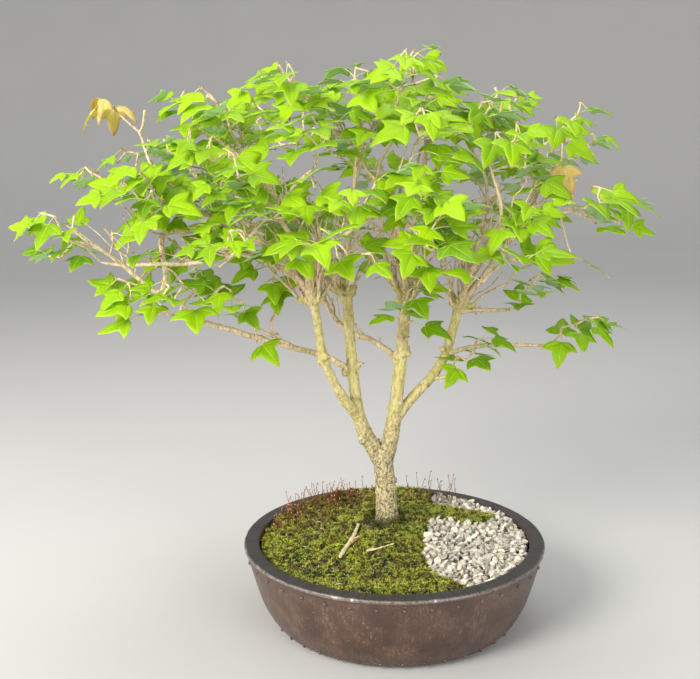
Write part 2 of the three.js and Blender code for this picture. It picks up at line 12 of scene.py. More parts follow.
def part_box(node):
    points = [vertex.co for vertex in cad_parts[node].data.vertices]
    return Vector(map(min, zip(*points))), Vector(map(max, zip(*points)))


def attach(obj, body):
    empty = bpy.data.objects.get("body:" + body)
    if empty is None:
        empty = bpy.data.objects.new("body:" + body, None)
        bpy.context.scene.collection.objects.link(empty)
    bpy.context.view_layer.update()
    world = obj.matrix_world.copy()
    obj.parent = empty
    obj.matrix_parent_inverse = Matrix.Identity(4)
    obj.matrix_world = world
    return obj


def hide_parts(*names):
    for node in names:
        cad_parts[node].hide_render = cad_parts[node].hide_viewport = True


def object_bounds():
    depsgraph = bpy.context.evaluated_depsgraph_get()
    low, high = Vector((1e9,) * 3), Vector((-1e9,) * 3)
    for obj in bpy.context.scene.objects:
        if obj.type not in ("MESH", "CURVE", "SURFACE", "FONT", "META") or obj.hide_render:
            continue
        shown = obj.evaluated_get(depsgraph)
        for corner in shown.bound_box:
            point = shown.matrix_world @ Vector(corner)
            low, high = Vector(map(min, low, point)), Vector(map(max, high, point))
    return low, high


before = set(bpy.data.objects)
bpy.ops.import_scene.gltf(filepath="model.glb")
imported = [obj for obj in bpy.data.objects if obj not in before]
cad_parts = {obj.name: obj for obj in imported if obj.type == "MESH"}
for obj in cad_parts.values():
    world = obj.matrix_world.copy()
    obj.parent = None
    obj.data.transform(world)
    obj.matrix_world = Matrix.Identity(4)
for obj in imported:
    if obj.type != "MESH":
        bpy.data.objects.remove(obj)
cad_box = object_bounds()

MM = 0.001
TAU = 2 * math.pi
UP = np.array([0.0, 0.0, 1.0])
FRONT = np.array([0.0, -1.0, 0.0])

# ---------- Driving dimensions, in millimetres ----------

POT = {"rim": 140.0, "lip_inside": 126.5, "floor": 9.0}
POT_TURNS = 256  # corners of each ring of the pot
# The pot's wall as [radius, height]: outside from the foot up, over the banded rim with its flat lip,
# then inside down to the floor.
POT_WALL_OUTSIDE = [
    [104.3, 0.0], [105.3, 0.4], [106.6, 1.2], [112, 4.4], [118, 12], [124.6, 24], [129.4, 38],
    [133.8, 54], [138.6, 71.6],
]
POT_BAND = [
    [138.8, 72.1], [139.3, 72.5], [139.9, 72.9], [140.25, 73.6], [140.35, 74.6], [140.2, 75.6],
    [139.8, 76.3], [139.1, 76.7], [138.2, 76.85], [135.5, 76.8], [131, 76.75], [127.9, 76.8],
    [127.0, 76.65], [126.5, 76.0],
]
POT_WALL_INSIDE = [[126.5, 66], [124.5, 50], [119, 32], [110, 18], [99, 10.2], [94, 9.0]]
DRAIN = {"x": 52.0, "radius": 12.0}
STUDS = {"count": 38, "radius": 1.75, "heights": (66.5, 6.5), "turn": 3.8}
RIM_NICKS = 46

GROUND = {"front": 66.5, "rise": 6.5, "mound": 14.0, "reach": 58.0, "x": -8.0, "y": 17.0}
SOIL_RADIUS = 126.2
STONE = {"size": (1.9, 3.6), "share": 0.94, "spacing": 3.45, "lift": 1.6, "layer": 2.05}
# The layers of stones from the soil up: their spacing as a share of `spacing`, and how far they are
# darkened as painted shade in the gaps between stones.
STONE_LAYERS = [(1.0, 1.0), (1.12, 0.28), (2.1, 0.0)]
BIG_STONE = {"chance": 0.06, "size": 1.25}
MOSS = {"thickness": 4.5, "voxel": 1.5, "tufts": 0.145}  # tufts on each square millimetre
MOSS_BANDS = [-62, -18, 34]  # the y at which the large area of tufts is parted into pieces
GRAVEL_OUTLINE = [
    (37, 34), (30, -8), (27, -40), (31, -66), (48, -84), (60, -96), (82, -102), (130, -60), (140, 0),
    (128, 30), (104, 53.6), (84, 30), (58, 36),
]
GRAVEL_STRIP_OUTLINE = [(38, 108), (44, 78), (74, 66), (100, 58.6), (130, 32.6), (140, 60), (100, 120)]
# Moss capsules grow in clumps: middle, width and depth, how many, and their least and greatest height.
CAPSULE_CLUMPS = [
    ((-66, 78), (38, 20), 62, (8, 20)), ((-104, 40), (12, 34), 28, (6, 13)),
    ((40, 86), (30, 14), 22, (9, 27)), ((-16, 94), (26, 12), 12, (8, 18)),
    ((-40, -20), (50, 40), 6, (4, 8)),
]
CAPSULE_REACH = 119  # the farthest that a capsule stands from the pot's middle
# Twigs on the moss as [x, y, radius] points: the piece, the CAD node it stands for, and its points.
FALLEN_TWIGS = [
    ("fallen_twig_forked", "fallen_twig_long",
     [[-33, 2, 1.2], [-38, -22, 1.6], [-44, -38, 1.9], [-48, -52, 1.5]]),
    ("fallen_twig_straight", "fallen_twig_short", [[-24, -42, 1.1], [-12, -38, 0.9], [0, -31, 0.7]]),
]
# Dark tufts of moss, painted near black as shade: how many stand in the fork and round the trunk's foot,
# and the fork's place.
DARK_TUFTS = {"in_fork": 44, "round_foot": 520, "fork": (-15, 14), "heights": (161, 164.5)}
# Bits of straw, which keep within `reach` of the pot's middle and `off_trunk` of the trunk's, and grit.
LITTER = {"straws": 46, "grit": 17, "reach": 114, "off_trunk": 24}
# A small red forked twig on the moss: the [x, y, radius] points of its two arms.
RED_FORK = [
    [(-38, -30, 0.8), (-33, -24, 0.6), (-29, -17, 0.4)],
    [(-35, -27, 0.5), (-36, -22, 0.4), (-39, -18, 0.3)],
]

# `share` is the size of the real blades against their CAD lenses.
LEAF = {"length": 31.4, "half_width": 19.0, "thickness": 0.22, "middle": 13.0, "share": 0.86}
# One half of a three-lobed leaf from beside its stalk to its tip, as shares of half width and length.
LEAF_HALF = [
    (0.13, -0.02), (0.32, -0.03), (0.52, 0.0), (0.70, 0.07), (0.86, 0.18), (1.0, 0.33), (0.84, 0.335),
    (0.68, 0.345), (0.54, 0.365), (0.44, 0.395), (0.385, 0.45), (0.385, 0.53), (0.325, 0.65), (0.21, 0.79),
    (0.085, 0.92), (0.0, 1.0),
]
LEAF_RINGS = (0.26, 0.52, 0.77, 1.0)
LOBE_TURN = math.radians(61)  # of the side veins from the midrib

# Wood, as [x, y, z, radius] along the middle of each limb.
LIMBS = {
    "trunk": [
        [-6, 15, 58, 13], [-6, 15, 80, 12.2], [-6, 15, 90, 10.7], [-7, 15, 104, 9.6],
        [-8, 15, 124, 8.8], [-10, 15, 146, 9], [-11, 15, 158, 8.2],
    ],
    "left_main": [[-8, 15, 138, 7.6], [-22, 12, 165, 7], [-29, 8, 180, 6.2], [-34, 6, 197, 5.6]],
    "right_main": [[-10, 15, 140, 8], [-4, 16, 164, 7.3], [-1, 18, 179, 6.8], [1, 20, 192, 6.3]],
    "outer_left": [
        [-31, 7, 187, 4.6], [-48, -8, 216, 3.8], [-58, -16, 238, 3.6], [-63, -20, 252, 3.9],
        [-65, -25, 267, 3.3], [-69, -38, 305, 3.2],
    ],
    "inner_left": [
        [-30, 7, 182, 5.6], [-34, 7, 200, 5], [-38, 10, 234, 4.7], [-41, 14, 271, 4.3],
        [-43, 16, 304, 4.2],
    ],
    "inner_right": [
        [0, 19, 186, 6], [3, 18, 210, 5.6], [6, 14, 238, 5.2], [8, 10, 264, 4.9], [11, 2, 304, 4.5],
    ],
    "outer_right": [
        [-1, 18, 181, 4.8], [14, 24, 201, 4.3], [36, 32, 224, 4], [48, 37, 242, 4],
        [55, 42, 264, 3.8], [61, 46, 289, 3.7],
    ],
}
TRUNK_FOOT = (-8.5, 15.0)  # the middle of the trunk where it meets the moss
ROOTS = {"turns": (0.5, 1.9, 3.3, 4.3, 5.4), "reach": 11.0}  # low buttresses round the trunk's foot
# Swellings where branches were pruned away, as [x, y, z, radius].
KNUCKLES = [
    [-69, -38, 304, 6.2], [-66, -36, 309, 4.4], [-43, 16, 303, 7.0], [-39, 13, 309, 5.0],
    [-47, 17, 309, 4.8], [11, 2, 303, 7.6], [16, 3, 309, 5.4], [6, 1, 309, 5.2],
    [61, 46, 287, 5.6], [64, 44, 292, 4.2], [-63, -20, 254, 5.4], [-65, -20, 249, 4.4],
    [-41, 10, 237, 5.8], [-36, 10, 238, 5.4], [4, 13, 248, 6.0], [10, 12, 250, 5.4],
    [49, 38, 248, 4.4], [-45, -4, 208, 4.8], [-3, 18, 195, 5.4], [-29, 9, 172, 6.4],
    [-2.6, 12, 126, 6.4], [-2.4, 12, 121, 6.2],
]
# Each branch leaves its limb as [x, y, z, radius] points; twigs grow from its last point to their tips.
BRANCHES = [
    {"points": [[-41, 10, 235, 3], [-65, 6, 249, 2.8], [-115, -12, 267, 2.5], [-171, -32, 288, 2.1],
                [-186, -38, 293, 1.9]],
     "twigs": [[-197, -48, 297], [-178, -16, 312], [-170, -72, 302]]},
    {"points": [[-92, -4, 260, 2], [-108, -16, 271, 1.8]],
     "twigs": [[-126, -38, 287], [-106, 4, 296]]},
    {"points": [[-66, -30, 283, 2.6], [-80, -50, 326, 2.3], [-123, -66, 350, 2],
                [-165, -62, 343, 1.9], [-230, -52, 340, 1.6]],
     "twigs": [[-252, -46, 342]]},
    {"points": [[-140, -36, 371, 2.3], [-178, -24, 366, 2.3], [-203, -20, 361, 2.5],
                [-198, -38, 326, 2.3], [-206, -46, 317, 2], [-232, -56, 342, 1.7]],
     "twigs": [[-262, -62, 364]]},
    {"points": [[-69, -38, 303, 3], [-95, -38, 345, 2.6], [-150, -34, 376, 2.2],
                [-180, -32, 388, 1.8]],
     "twigs": [[-192, -82, 392], [-222, -12, 452], [-232, -28, 396]]},
    {"points": [[-69, -38, 303, 2.9], [-78, -62, 345, 2.4], [-92, -76, 380, 1.8]],
     "twigs": [[-116, -116, 366], [-128, -80, 416], [-62, -84, 424]]},
    {"points": [[-43, 16, 302, 3], [-70, 10, 350, 2.6], [-112, 2, 402, 2], [-125, 0, 420, 1.7]],
     "twigs": [[-134, -36, 444], [-168, 12, 450], [-98, 22, 464]]},
    {"points": [[-43, 16, 302, 3], [-42, 8, 355, 2.6], [-34, -6, 410, 2.1], [-32, -8, 430, 1.7]],
     "twigs": [[-66, -36, 458], [-4, -38, 466], [-36, 22, 474]]},
    {"points": [[-43, 16, 302, 2.8], [-90, 34, 340, 2.4], [-145, 46, 372, 2], [-165, 50, 386, 1.7]],
     "twigs": [[-218, 24, 408], [-192, 68, 414], [-128, 70, 438], [-126, 112, 384]]},
    {"points": [[6, 14, 242, 3], [-14, 30, 255, 2.7], [-49, 50, 268, 2.5], [-68, 60, 295, 2.3],
                [-88, 70, 330, 1.8]],
     "twigs": [[-150, 102, 344], [-78, 114, 358]]},
    {"points": [[11, 2, 302, 3], [8, -34, 342, 2.5], [2, -76, 382, 1.8]],
     "twigs": [[-46, -116, 366], [24, -118, 364], [14, -84, 430]]},
    {"points": [[11, 2, 302, 3.2], [20, 8, 370, 2.6], [28, 14, 430, 2], [28, 14, 446, 1.8]],
     "twigs": [[14, 16, 478], [62, -34, 450], [84, 22, 450]]},
    {"points": [[11, 2, 302, 2.9], [2, 36, 350, 2.4], [-18, 74, 404, 1.8]],
     "twigs": [[-60, 68, 452], [14, 70, 458], [-16, 114, 396]]},
    {"points": [[61, 46, 286, 3], [70, -2, 330, 2.5], [88, -66, 372, 1.8]],
     "twigs": [[88, -112, 356], [78, -80, 418], [134, -76, 384]]},
    {"points": [[61, 46, 286, 3.2], [84, 36, 320, 2.6], [112, -4, 370, 2], [118, -10, 386, 1.8]],
     "twigs": [[124, -32, 428], [162, -30, 378], [146, 22, 420]]},
    {"points": [[61, 46, 286, 2.9], [76, 60, 335, 2.4], [90, 72, 384, 1.8]],
     "twigs": [[70, 68, 440], [122, 68, 404], [84, 112, 372]]},
    {"points": [[60, 45, 283, 2.3], [80, 40, 286, 2.1], [97, 33, 287, 1.8]],
     "twigs": [[110, 18, 291]]},
    {"points": [[48, 37, 244, 2.4], [70, 34, 251, 2.1], [93, 28, 255, 1.9], [124, 22, 256, 1.7]],
     "twigs": [[144, 16, 257]]},
    {"points": [[35, 32, 222, 1.9], [45, 27, 224, 1.6]], "twigs": [[53, 21, 228]]},
    {"points": [[8, 10, 260, 1.9], [6, 0, 268, 1.6]], "twigs": [[6, -14, 280]]},
]
BRUSHY_BRANCHES = BRANCHES[2:16]  # those that bear bare twigs
TWIGS_EACH = 9
# Leaf sizes against their CAD lenses on the shoots, counted from one, that are smaller than the rest.
SMALL_LEAVED = {6: 0.85, 7: 0.85, 10: 0.7, 11: 0.72, 20: 0.78, 24: 0.75, 31: 0.78, 40: 0.72}
DRIED_SHOOT = 9  # the shoot, counted from one, whose leaves have dried and hang
# Pixels of the photograph at or near the bases of single leaves, low on the crown's fringe and in front
# of its gaps, and at the joint of one more dried leaf.
FRINGE_PIXELS = [
    (340, 262), (427, 268), (425, 327), (262, 345), (129, 320), (585, 262), (122, 236), (142, 256),
    (150, 143), (633, 226), (604, 228), (418, 67), (305, 180), (322, 192), (439, 156), (414, 173),
    (474, 158), (500, 230),
]
DRIED_PIXEL = (556, 170)
# Such a leaf stands about `gap` from the wood, and as far to the front as `price` per millimetre allows.
FRINGE = {"gap": 24.0, "price": 0.12, "depths": range(-150, 121, 5), "samples": 12}
# The crown from the front: [x, z] corners round the middles of its small side sprays' leaves.
CROWN_FRONT = [
    [-205, 452], [-157, 475], [-121, 485], [-56, 492], [-2, 488], [9, 508], [33, 509], [48, 492], [79, 473],
    [118, 455], [172, 440], [166, 421], [204, 380], [210, 360], [173, 354], [168, 332], [112, 336],
    [37, 345], [16, 315], [-8, 336], [-44, 318], [-84, 346], [-138, 352], [-170, 362], [-214, 360],
    [-236, 378], [-236, 418],
]
PALE_STUB = [-214, -20, 470]  # the thick end of a bare twig beside the dried leaves
CROWN = {"x": -35, "y": 4, "half_width": 250}  # blades and side sprays head away from its middle
# How a blade's face leans from straight up, and how far its tip sinks.
FACING = {"outwards": 0.42, "front": 0.56, "scatter": 0.24, "sink": 0.08}
SPRAYS = {"tries": 5200, "wanted": 98, "leaf_gap": 12, "lowest": 300}
SNAGS_EACH = 10  # pruning stubs on each of the knuckles at the limbs' upper ends
# Those knuckles, and which way in x and y their stubs lean.
CROWN_KNUCKLES = [
    ([-69, -38, 305], (-0.5, -0.3)), ([-43, 16, 305], (-0.25, 0.0)), ([11, 2, 305], (0.15, -0.1)),
    ([61, 46, 288], (0.5, -0.15)),
]

# The camera's place is in metres, its lens and sensor in millimetres and its turns in degrees.
CAMERA = {"place": (0, -0.909, 0.441), "lens": 52.35, "pitch": 10.92, "yaw": -2.51, "roll": -0.42}
SENSOR = 36.0
PHOTO = {"width": 700, "middle": (350, 339.5)}  # in pixels
# The studio, in metres: each lamp's place, what it points at, its size, its power and its colour.
LAMPS = {
    "key_light": ((-1.25, -1.5, 1.25), (0, 0, 0.24), 1.0, 60, (1.0, 0.98, 0.94)),
    "fill_light": ((1.3, -1.8, 0.7), (0, 0, 0.22), 1.4, 32, (0.95, 0.97, 1.0)),
    "side_light": ((-1.7, -0.25, 0.42), (0, 0, 0.15), 0.9, 12, (1.0, 0.98, 0.95)),
    "top_light": ((0.1, 0.4, 2.1), (0, 0, 0.3), 1.2, 15, (1.0, 1.0, 0.98)),
}
SKY_STRENGTH = 0.74
# The floor as [radius, height] from near its middle out and up.
FLOOR_PROFILE = [
    (0.6, 0.0), (1.6, 0.0), (2.6, 0.0), (3.2, 0.05), (3.7, 0.22), (4.1, 0.6), (4.3, 1.2), (4.35, 2.4),
]
FLOOR_TURNS = 96


# ---------- Materials ----------


def rgb(red, green, blue):
    """Blender's linear colour for one given as on a screen, from 0 to 255."""

    def linear(value):
        share = value / 255
        return share / 12.92 if share <= 0.04045 else ((share + 0.055) / 1.055) ** 2.4

    return (linear(red), linear(green), linear(blue), 1)


class Paint:
    """A material under construction. Each method adds nodes and returns the output of the last."""

    def __init__(self, name):
        self.material = bpy.data.materials.new(name)
        self.material.use_nodes = True
        self.tree = self.material.node_tree
        self.tree.nodes.clear()
        self.place = self.add("ShaderNodeTexCoord").outputs["Object"]

    def add(self, kind, inputs=None, **settings):
        node = self.tree.nodes.new(kind)
        for key, value in settings.items():
            setattr(node, key, value)
        for key, value in (inputs or {}).items():
            if isinstance(value, bpy.types.NodeSocket):
                self.tree.links.new(value, node.inputs[key])
            else:
                node.inputs[key].default_value = value
        return node

    def calc(self, operation, *values):
        inputs = dict(enumerate(values))
        return self.add("ShaderNodeMath", inputs, operation=operation).outputs[0]

    def times(self, first, second):
        return self.calc("MULTIPLY", first, second)

    def plus(self, first, second):
        return self.calc("ADD", first, second)

    def stretched(self, scale):
        """The place with each axis scaled on its own."""
        return self.add("ShaderNodeVectorMath", {0: self.place, 1: scale}, operation="MULTIPLY").outputs[0]

    def noise(self, feature, detail=4, place=None, roughness=0.55):
        """Cloudy noise, about 0 to 1, whose features are some millimetres wide."""
        inputs = {"Vector": self.place if place is None else place, "Scale": 1 / (feature * MM)}
        inputs.update({"Detail": detail, "Roughness": roughness})
        return self.add("ShaderNodeTexNoise", inputs).outputs["Fac"]

    def cells(self, feature, output="Distance"):
        """Cells some millimetres wide: the distance from each middle, or a colour for each."""
        inputs = {"Vector": self.place, "Scale": 1 / (feature * MM)}
        return self.add("ShaderNodeTexVoronoi", inputs).outputs[output]

    def step(self, value, low, high, to_low=0.0, to_high=1.0):
        """A smooth step of a value from `low` to `high`."""
        inputs = {"Value": value, "From Min": low, "From Max": high}
        inputs.update({"To Min": to_low, "To Max": to_high})
        return self.add("ShaderNodeMapRange", inputs, interpolation_type="SMOOTHSTEP").outputs[0]

    def mix(self, share, first, second, blend_type="MIX"):
        """A mixture of two colours."""
        node = self.add("ShaderNodeMix", data_type="RGBA", blend_type=blend_type, clamp_factor=True)
        for index, value in ((0, share), (6, first), (7, second)):
            if isinstance(value, bpy.types.NodeSocket):
                self.tree.links.new(value, node.inputs[index])
            else:
                node.inputs[index].default_value = value
        return node.outputs[2]

    def over(self, colour, share, strength, added):
        """A colour with another laid over it, where a share of the surface and a strength say."""
        return self.mix(self.times(share, strength), colour, added)

    def mark(self, name, output="Fac"):
        """A value that the mesh stores at its points."""
        return self.add("ShaderNodeAttribute", attribute_name=name).outputs[output]

    def bump(self, height, depth, normal=None):
        """Fine relief, some millimetres deep."""
        inputs = {"Height": height, "Distance": depth * MM, "Strength": 1.0}
        if normal is not None:
            inputs["Normal"] = normal
        return self.add("ShaderNodeBump", inputs).outputs[0]

    def shader(self, colour, roughness, normal=None, **sockets):
        inputs = {"Base Color": colour, "Roughness": roughness}
        inputs.update({key.replace("_", " "): value for key, value in sockets.items()})
        if normal is not None:
            inputs["Normal"] = normal
        return self.add("ShaderNodeBsdfPrincipled", inputs).outputs[0]

    def finish(self, shader):
        self.add("ShaderNodeOutputMaterial", {"Surface": shader})
        return self.material


def split(paint, vector=None):
    """The x, y and z of a vector."""
    vector = paint.place if vector is None else vector
    return paint.add("ShaderNodeSeparateXYZ", {0: vector}).outputs


def pot_material():
    """Dark purplish-brown moulded plastic with pale streaks, specks and a worn rim, whose bead carries a
    painted highlight and whose nicks carry painted glints.
    """
    paint = Paint("pot_plastic")
    x, y, z = split(paint)
    height = paint.step(z, 0, 70 * MM)
    clouds = paint.noise(26, 5)
    colour = paint.mix(paint.step(clouds, 0.3, 0.7), rgb(52, 32, 20), rgb(90, 62, 42))
    colour = paint.over(colour, height, 0.35, rgb(92, 72, 62))
    streaks = paint.noise(2.6, 6, paint.stretched((1, 1, 0.16)), 0.75)
    streaks = paint.times(paint.step(streaks, 0.48, 0.7), paint.step(clouds, 0.36, 0.6))
    colour = paint.over(colour, streaks, 0.5, rgb(140, 126, 116))
    mottle = paint.step(paint.noise(1.6, 3), 0.36, 0.7)
    colour = paint.over(colour, mottle, 0.34, rgb(38, 25, 19))
    specks = paint.step(paint.cells(4.2), 0.09, 0.05)
    chosen = paint.step(paint.noise(9, 2), 0.44, 0.56)
    specks = paint.times(specks, chosen)
    colour = paint.over(colour, specks, 0.72, rgb(212, 206, 198))
    # The flat lip is greyer, with fine streaks across it.
    lip = paint.step(z, 75.6 * MM, 76.5 * MM)
    turn = paint.calc("ARCTAN2", y, x)
    spin = paint.add("ShaderNodeCombineXYZ", {0: turn, 1: paint.times(z, 4.0)}).outputs[0]
    radial = paint.add("ShaderNodeTexNoise", {"Vector": spin, "Scale": 95.0, "Detail": 5.0}).outputs["Fac"]
    lip_colour = paint.mix(paint.step(radial, 0.35, 0.7), rgb(26, 22, 19), rgb(64, 56, 49))
    colour = paint.mix(lip, colour, lip_colour)
    foot = paint.step(z, 1.6 * MM, 0.5 * MM)
    colour = paint.over(colour, foot, 0.6, rgb(150, 140, 136))
    # The rim's bead is paler grey, partly wear and partly a painted highlight; its nicks are whitened as
    # painted glints.
    wear = paint.mark("wear")
    band = paint.times(paint.step(wear, 0.02, 0.3), paint.step(paint.noise(2.2, 4), 0.3, 0.6))
    colour = paint.over(colour, band, 0.45, rgb(142, 136, 132))
    nick_glints = paint.step(wear, 0.5, 0.85)
    colour = paint.over(colour, nick_glints, 0.9, rgb(226, 220, 214))
    dusty = paint.plus(paint.times(clouds, 0.22), paint.times(mottle, 0.1))
    roughness = paint.plus(dusty, 0.22)
    grain = paint.plus(paint.noise(0.9, 4), paint.times(streaks, 0.6))
    normal = paint.bump(grain, 0.16, paint.bump(clouds, 0.5))
    return paint.finish(paint.shader(colour, roughness, normal, Specular_IOR_Level=0.6))


def screen_material():
    """Black plastic mesh."""
    paint = Paint("screen_mesh")
    x, y, _ = split(paint)
    pitch = TAU / (2.2 * MM)
    weave = paint.times(paint.calc("SINE", paint.times(x, pitch)),
                       paint.calc("SINE", paint.times(y, pitch)))
    holes = paint.step(paint.calc("ABSOLUTE", weave), 0.35, 0.6)
    dust = paint.noise(2.5, 4)
    # The holes are painted near black: painted shade where the mesh is open.
    colour = paint.mix(holes, paint.mix(dust, rgb(30, 30, 31), rgb(58, 54, 50)), rgb(8, 8, 8))
    roughness = paint.plus(paint.times(dust, 0.3), 0.5)
    normal = paint.bump(paint.calc("SUBTRACT", 1.0, holes), 0.6)
    return paint.finish(paint.shader(colour, roughness, normal))


def soil_material():
    """Dark granular potting soil."""
    paint = Paint("soil_grains")
    grains = paint.cells(2.6)
    tint = paint.cells(2.6, "Color")
    clouds = paint.noise(14, 4)
    colour = paint.mix(clouds, rgb(38, 29, 20), rgb(72, 56, 38))
    colour = paint.mix(0.3, colour, paint.mix(1.0, rgb(120, 96, 70), tint, "MULTIPLY"))
    # Between the grains the colour goes nearly black: painted shade.
    colour = paint.mix(paint.step(grains, 0.35, 0.75), colour, rgb(18, 14, 10))
    roughness = paint.plus(paint.times(clouds, 0.2), 0.75)
    height = paint.plus(paint.times(grains, -1.0), paint.noise(0.8, 4))
    return paint.finish(paint.shader(colour, roughness, paint.bump(height, 0.8)))


def moss_material():
    """Feathery moss in patches of bright yellow-green, olive and rusty brown, with painted shade in its
    gaps and low down, and pale tips that are partly a painted highlight.
    """
    paint = Paint("moss_fronds")
    x, y, _ = split(paint)
    patches = paint.noise(30, 4, roughness=0.6)
    middling = paint.noise(9, 4)
    fine = paint.noise(2.0, 4)
    tone = paint.mark("tone")
    rise = paint.mark("rise")
    colour = paint.mix(paint.step(patches, 0.4, 0.62), rgb(92, 92, 10), rgb(176, 182, 20))
    colour = paint.over(colour, paint.step(middling, 0.48, 0.66), 0.85, rgb(236, 234, 52))
    fresh = paint.step(paint.noise(17, 4, roughness=0.6), 0.52, 0.64)
    fresh = paint.calc("MAXIMUM", paint.times(fresh, 0.75), paint.times(paint.step(tone, 0.5, 0.9), 0.5))
    colour = paint.mix(fresh, colour, rgb(112, 150, 20))
    back_left = paint.times(paint.step(y, -30 * MM, 70 * MM), paint.step(x, 10 * MM, -60 * MM))
    rust = paint.step(paint.plus(paint.noise(13, 4), paint.times(back_left, 0.18)), 0.53, 0.66)
    rust = paint.times(rust, 0.85)
    colour = paint.mix(rust, colour, paint.mix(tone, rgb(88, 56, 22), rgb(156, 110, 46)))
    # Dark patches between the lumps: painted shade.
    shaded_gaps = paint.step(paint.noise(5, 5, roughness=0.7), 0.52, 0.43)
    colour = paint.over(colour, shaded_gaps, 0.92, rgb(22, 20, 2))
    # The needles' tips are pale: fresh growth, and partly a painted highlight.
    tips = paint.times(paint.step(rise, 0.5, 1.0), 0.85)
    tips = paint.times(tips, paint.calc("SUBTRACT", 1.0, paint.times(rust, 0.7)))
    tips = paint.times(tips, paint.calc("SUBTRACT", 1.0, shaded_gaps))
    colour = paint.mix(tips, colour, rgb(252, 250, 122))
    straw = paint.step(tone, 0.982, 0.99)
    colour = paint.over(colour, straw, 0.7, rgb(206, 186, 130))
    # Low in the moss the colour goes almost black: painted shade.
    depth = paint.plus(paint.times(rise, 0.75), paint.times(fine, 0.3))
    colour = paint.mix(paint.step(depth, 0.75, 0.15), colour, rgb(16, 16, 3))
    roughness = paint.plus(paint.times(fine, 0.25), 0.6)
    solid = paint.shader(colour, roughness, paint.bump(paint.noise(0.9, 5), 0.5))
    through = paint.add("ShaderNodeBsdfTranslucent", {"Color": colour}).outputs[0]
    return paint.finish(paint.add("ShaderNodeMixShader", {0: 0.18, 1: solid, 2: through}).outputs[0])


def stone_material():
    """Crushed light grey stone, each piece with its own tint; the lower layers are darkened as painted
    shade.
    """
    paint = Paint("crushed_stone")
    tone = paint.mark("tone")
    warm = paint.mark("warm")
    grain = paint.noise(1.1, 5)
    clouds = paint.noise(3.2, 3)
    colour = paint.mix(tone, rgb(170, 162, 146), rgb(250, 241, 222))
    colour = paint.over(colour, paint.step(warm, 0.6, 1.0), 0.45, rgb(214, 188, 158))
    colour = paint.over(colour, paint.step(warm, 0.12, 0.0), 0.6, rgb(170, 170, 172))
    colour = paint.over(colour, paint.step(clouds, 0.5, 0.75), 0.5, rgb(236, 228, 214))
    colour = paint.over(colour, paint.step(grain, 0.52, 0.38), 0.55, rgb(74, 70, 68))
    # Painted shade: the lower layers, seen in the gaps between the stones, go dark.
    colour = paint.over(colour, paint.mark("damp"), 0.8, rgb(52, 45, 36))
    roughness = paint.plus(paint.times(grain, 0.25), 0.62)
    return paint.finish(paint.shader(colour, roughness, paint.bump(grain, 0.35)))


def bark_material(name, dark, middle, light, green, foot):
    """Pale flaky bark; `green` is how much algae tints it, `foot` how much the low part is old and damp."""
    paint = Paint(name)
    _, _, z = split(paint)
    along = paint.stretched((1, 1, 0.38))
    clouds = paint.noise(11, 4)
    flakes = paint.noise(2.6, 6, along, 0.68)
    fine = paint.noise(0.9, 4, along)
    colour = paint.mix(paint.step(flakes, 0.38, 0.62), middle, light)
    colour = paint.mix(paint.step(flakes, 0.43, 0.33), colour, dark)
    algae = paint.times(paint.step(clouds, 0.4, 0.62), green)
    colour = paint.mix(algae, colour, rgb(186, 178, 84))
    grey = paint.step(paint.noise(7, 3, along), 0.56, 0.72)
    colour = paint.over(colour, grey, 0.35, rgb(158, 150, 134))
    old = paint.times(paint.step(z, 225 * MM, 140 * MM), foot)
    plates = paint.step(paint.noise(2.4, 6, paint.stretched((1, 1, 0.75)), 0.8), 0.42, 0.58)
    old_colour = paint.mix(plates, rgb(78, 62, 38), rgb(206, 192, 142))
    blush = paint.step(paint.noise(6, 4, roughness=0.6), 0.45, 0.62)
    old_colour = paint.over(old_colour, blush, 0.6, rgb(168, 148, 124))
    pits = paint.step(paint.noise(1.9, 5, roughness=0.65), 0.45, 0.36)
    old_colour = paint.over(old_colour, pits, 0.85, rgb(52, 40, 26))
    colour = paint.over(colour, old, 0.95, old_colour)
    damp = paint.step(paint.plus(z, paint.times(clouds, 30 * MM)), 122 * MM, 92 * MM)
    damp = paint.times(damp, foot)
    colour = paint.over(colour, damp, 0.6, rgb(84, 80, 34))
    roughness = paint.plus(paint.times(fine, 0.2), 0.66)
    height = paint.plus(paint.times(flakes, 1.4), paint.times(fine, 0.35))
    return paint.finish(paint.shader(colour, roughness, paint.bump(height, 1.0)))


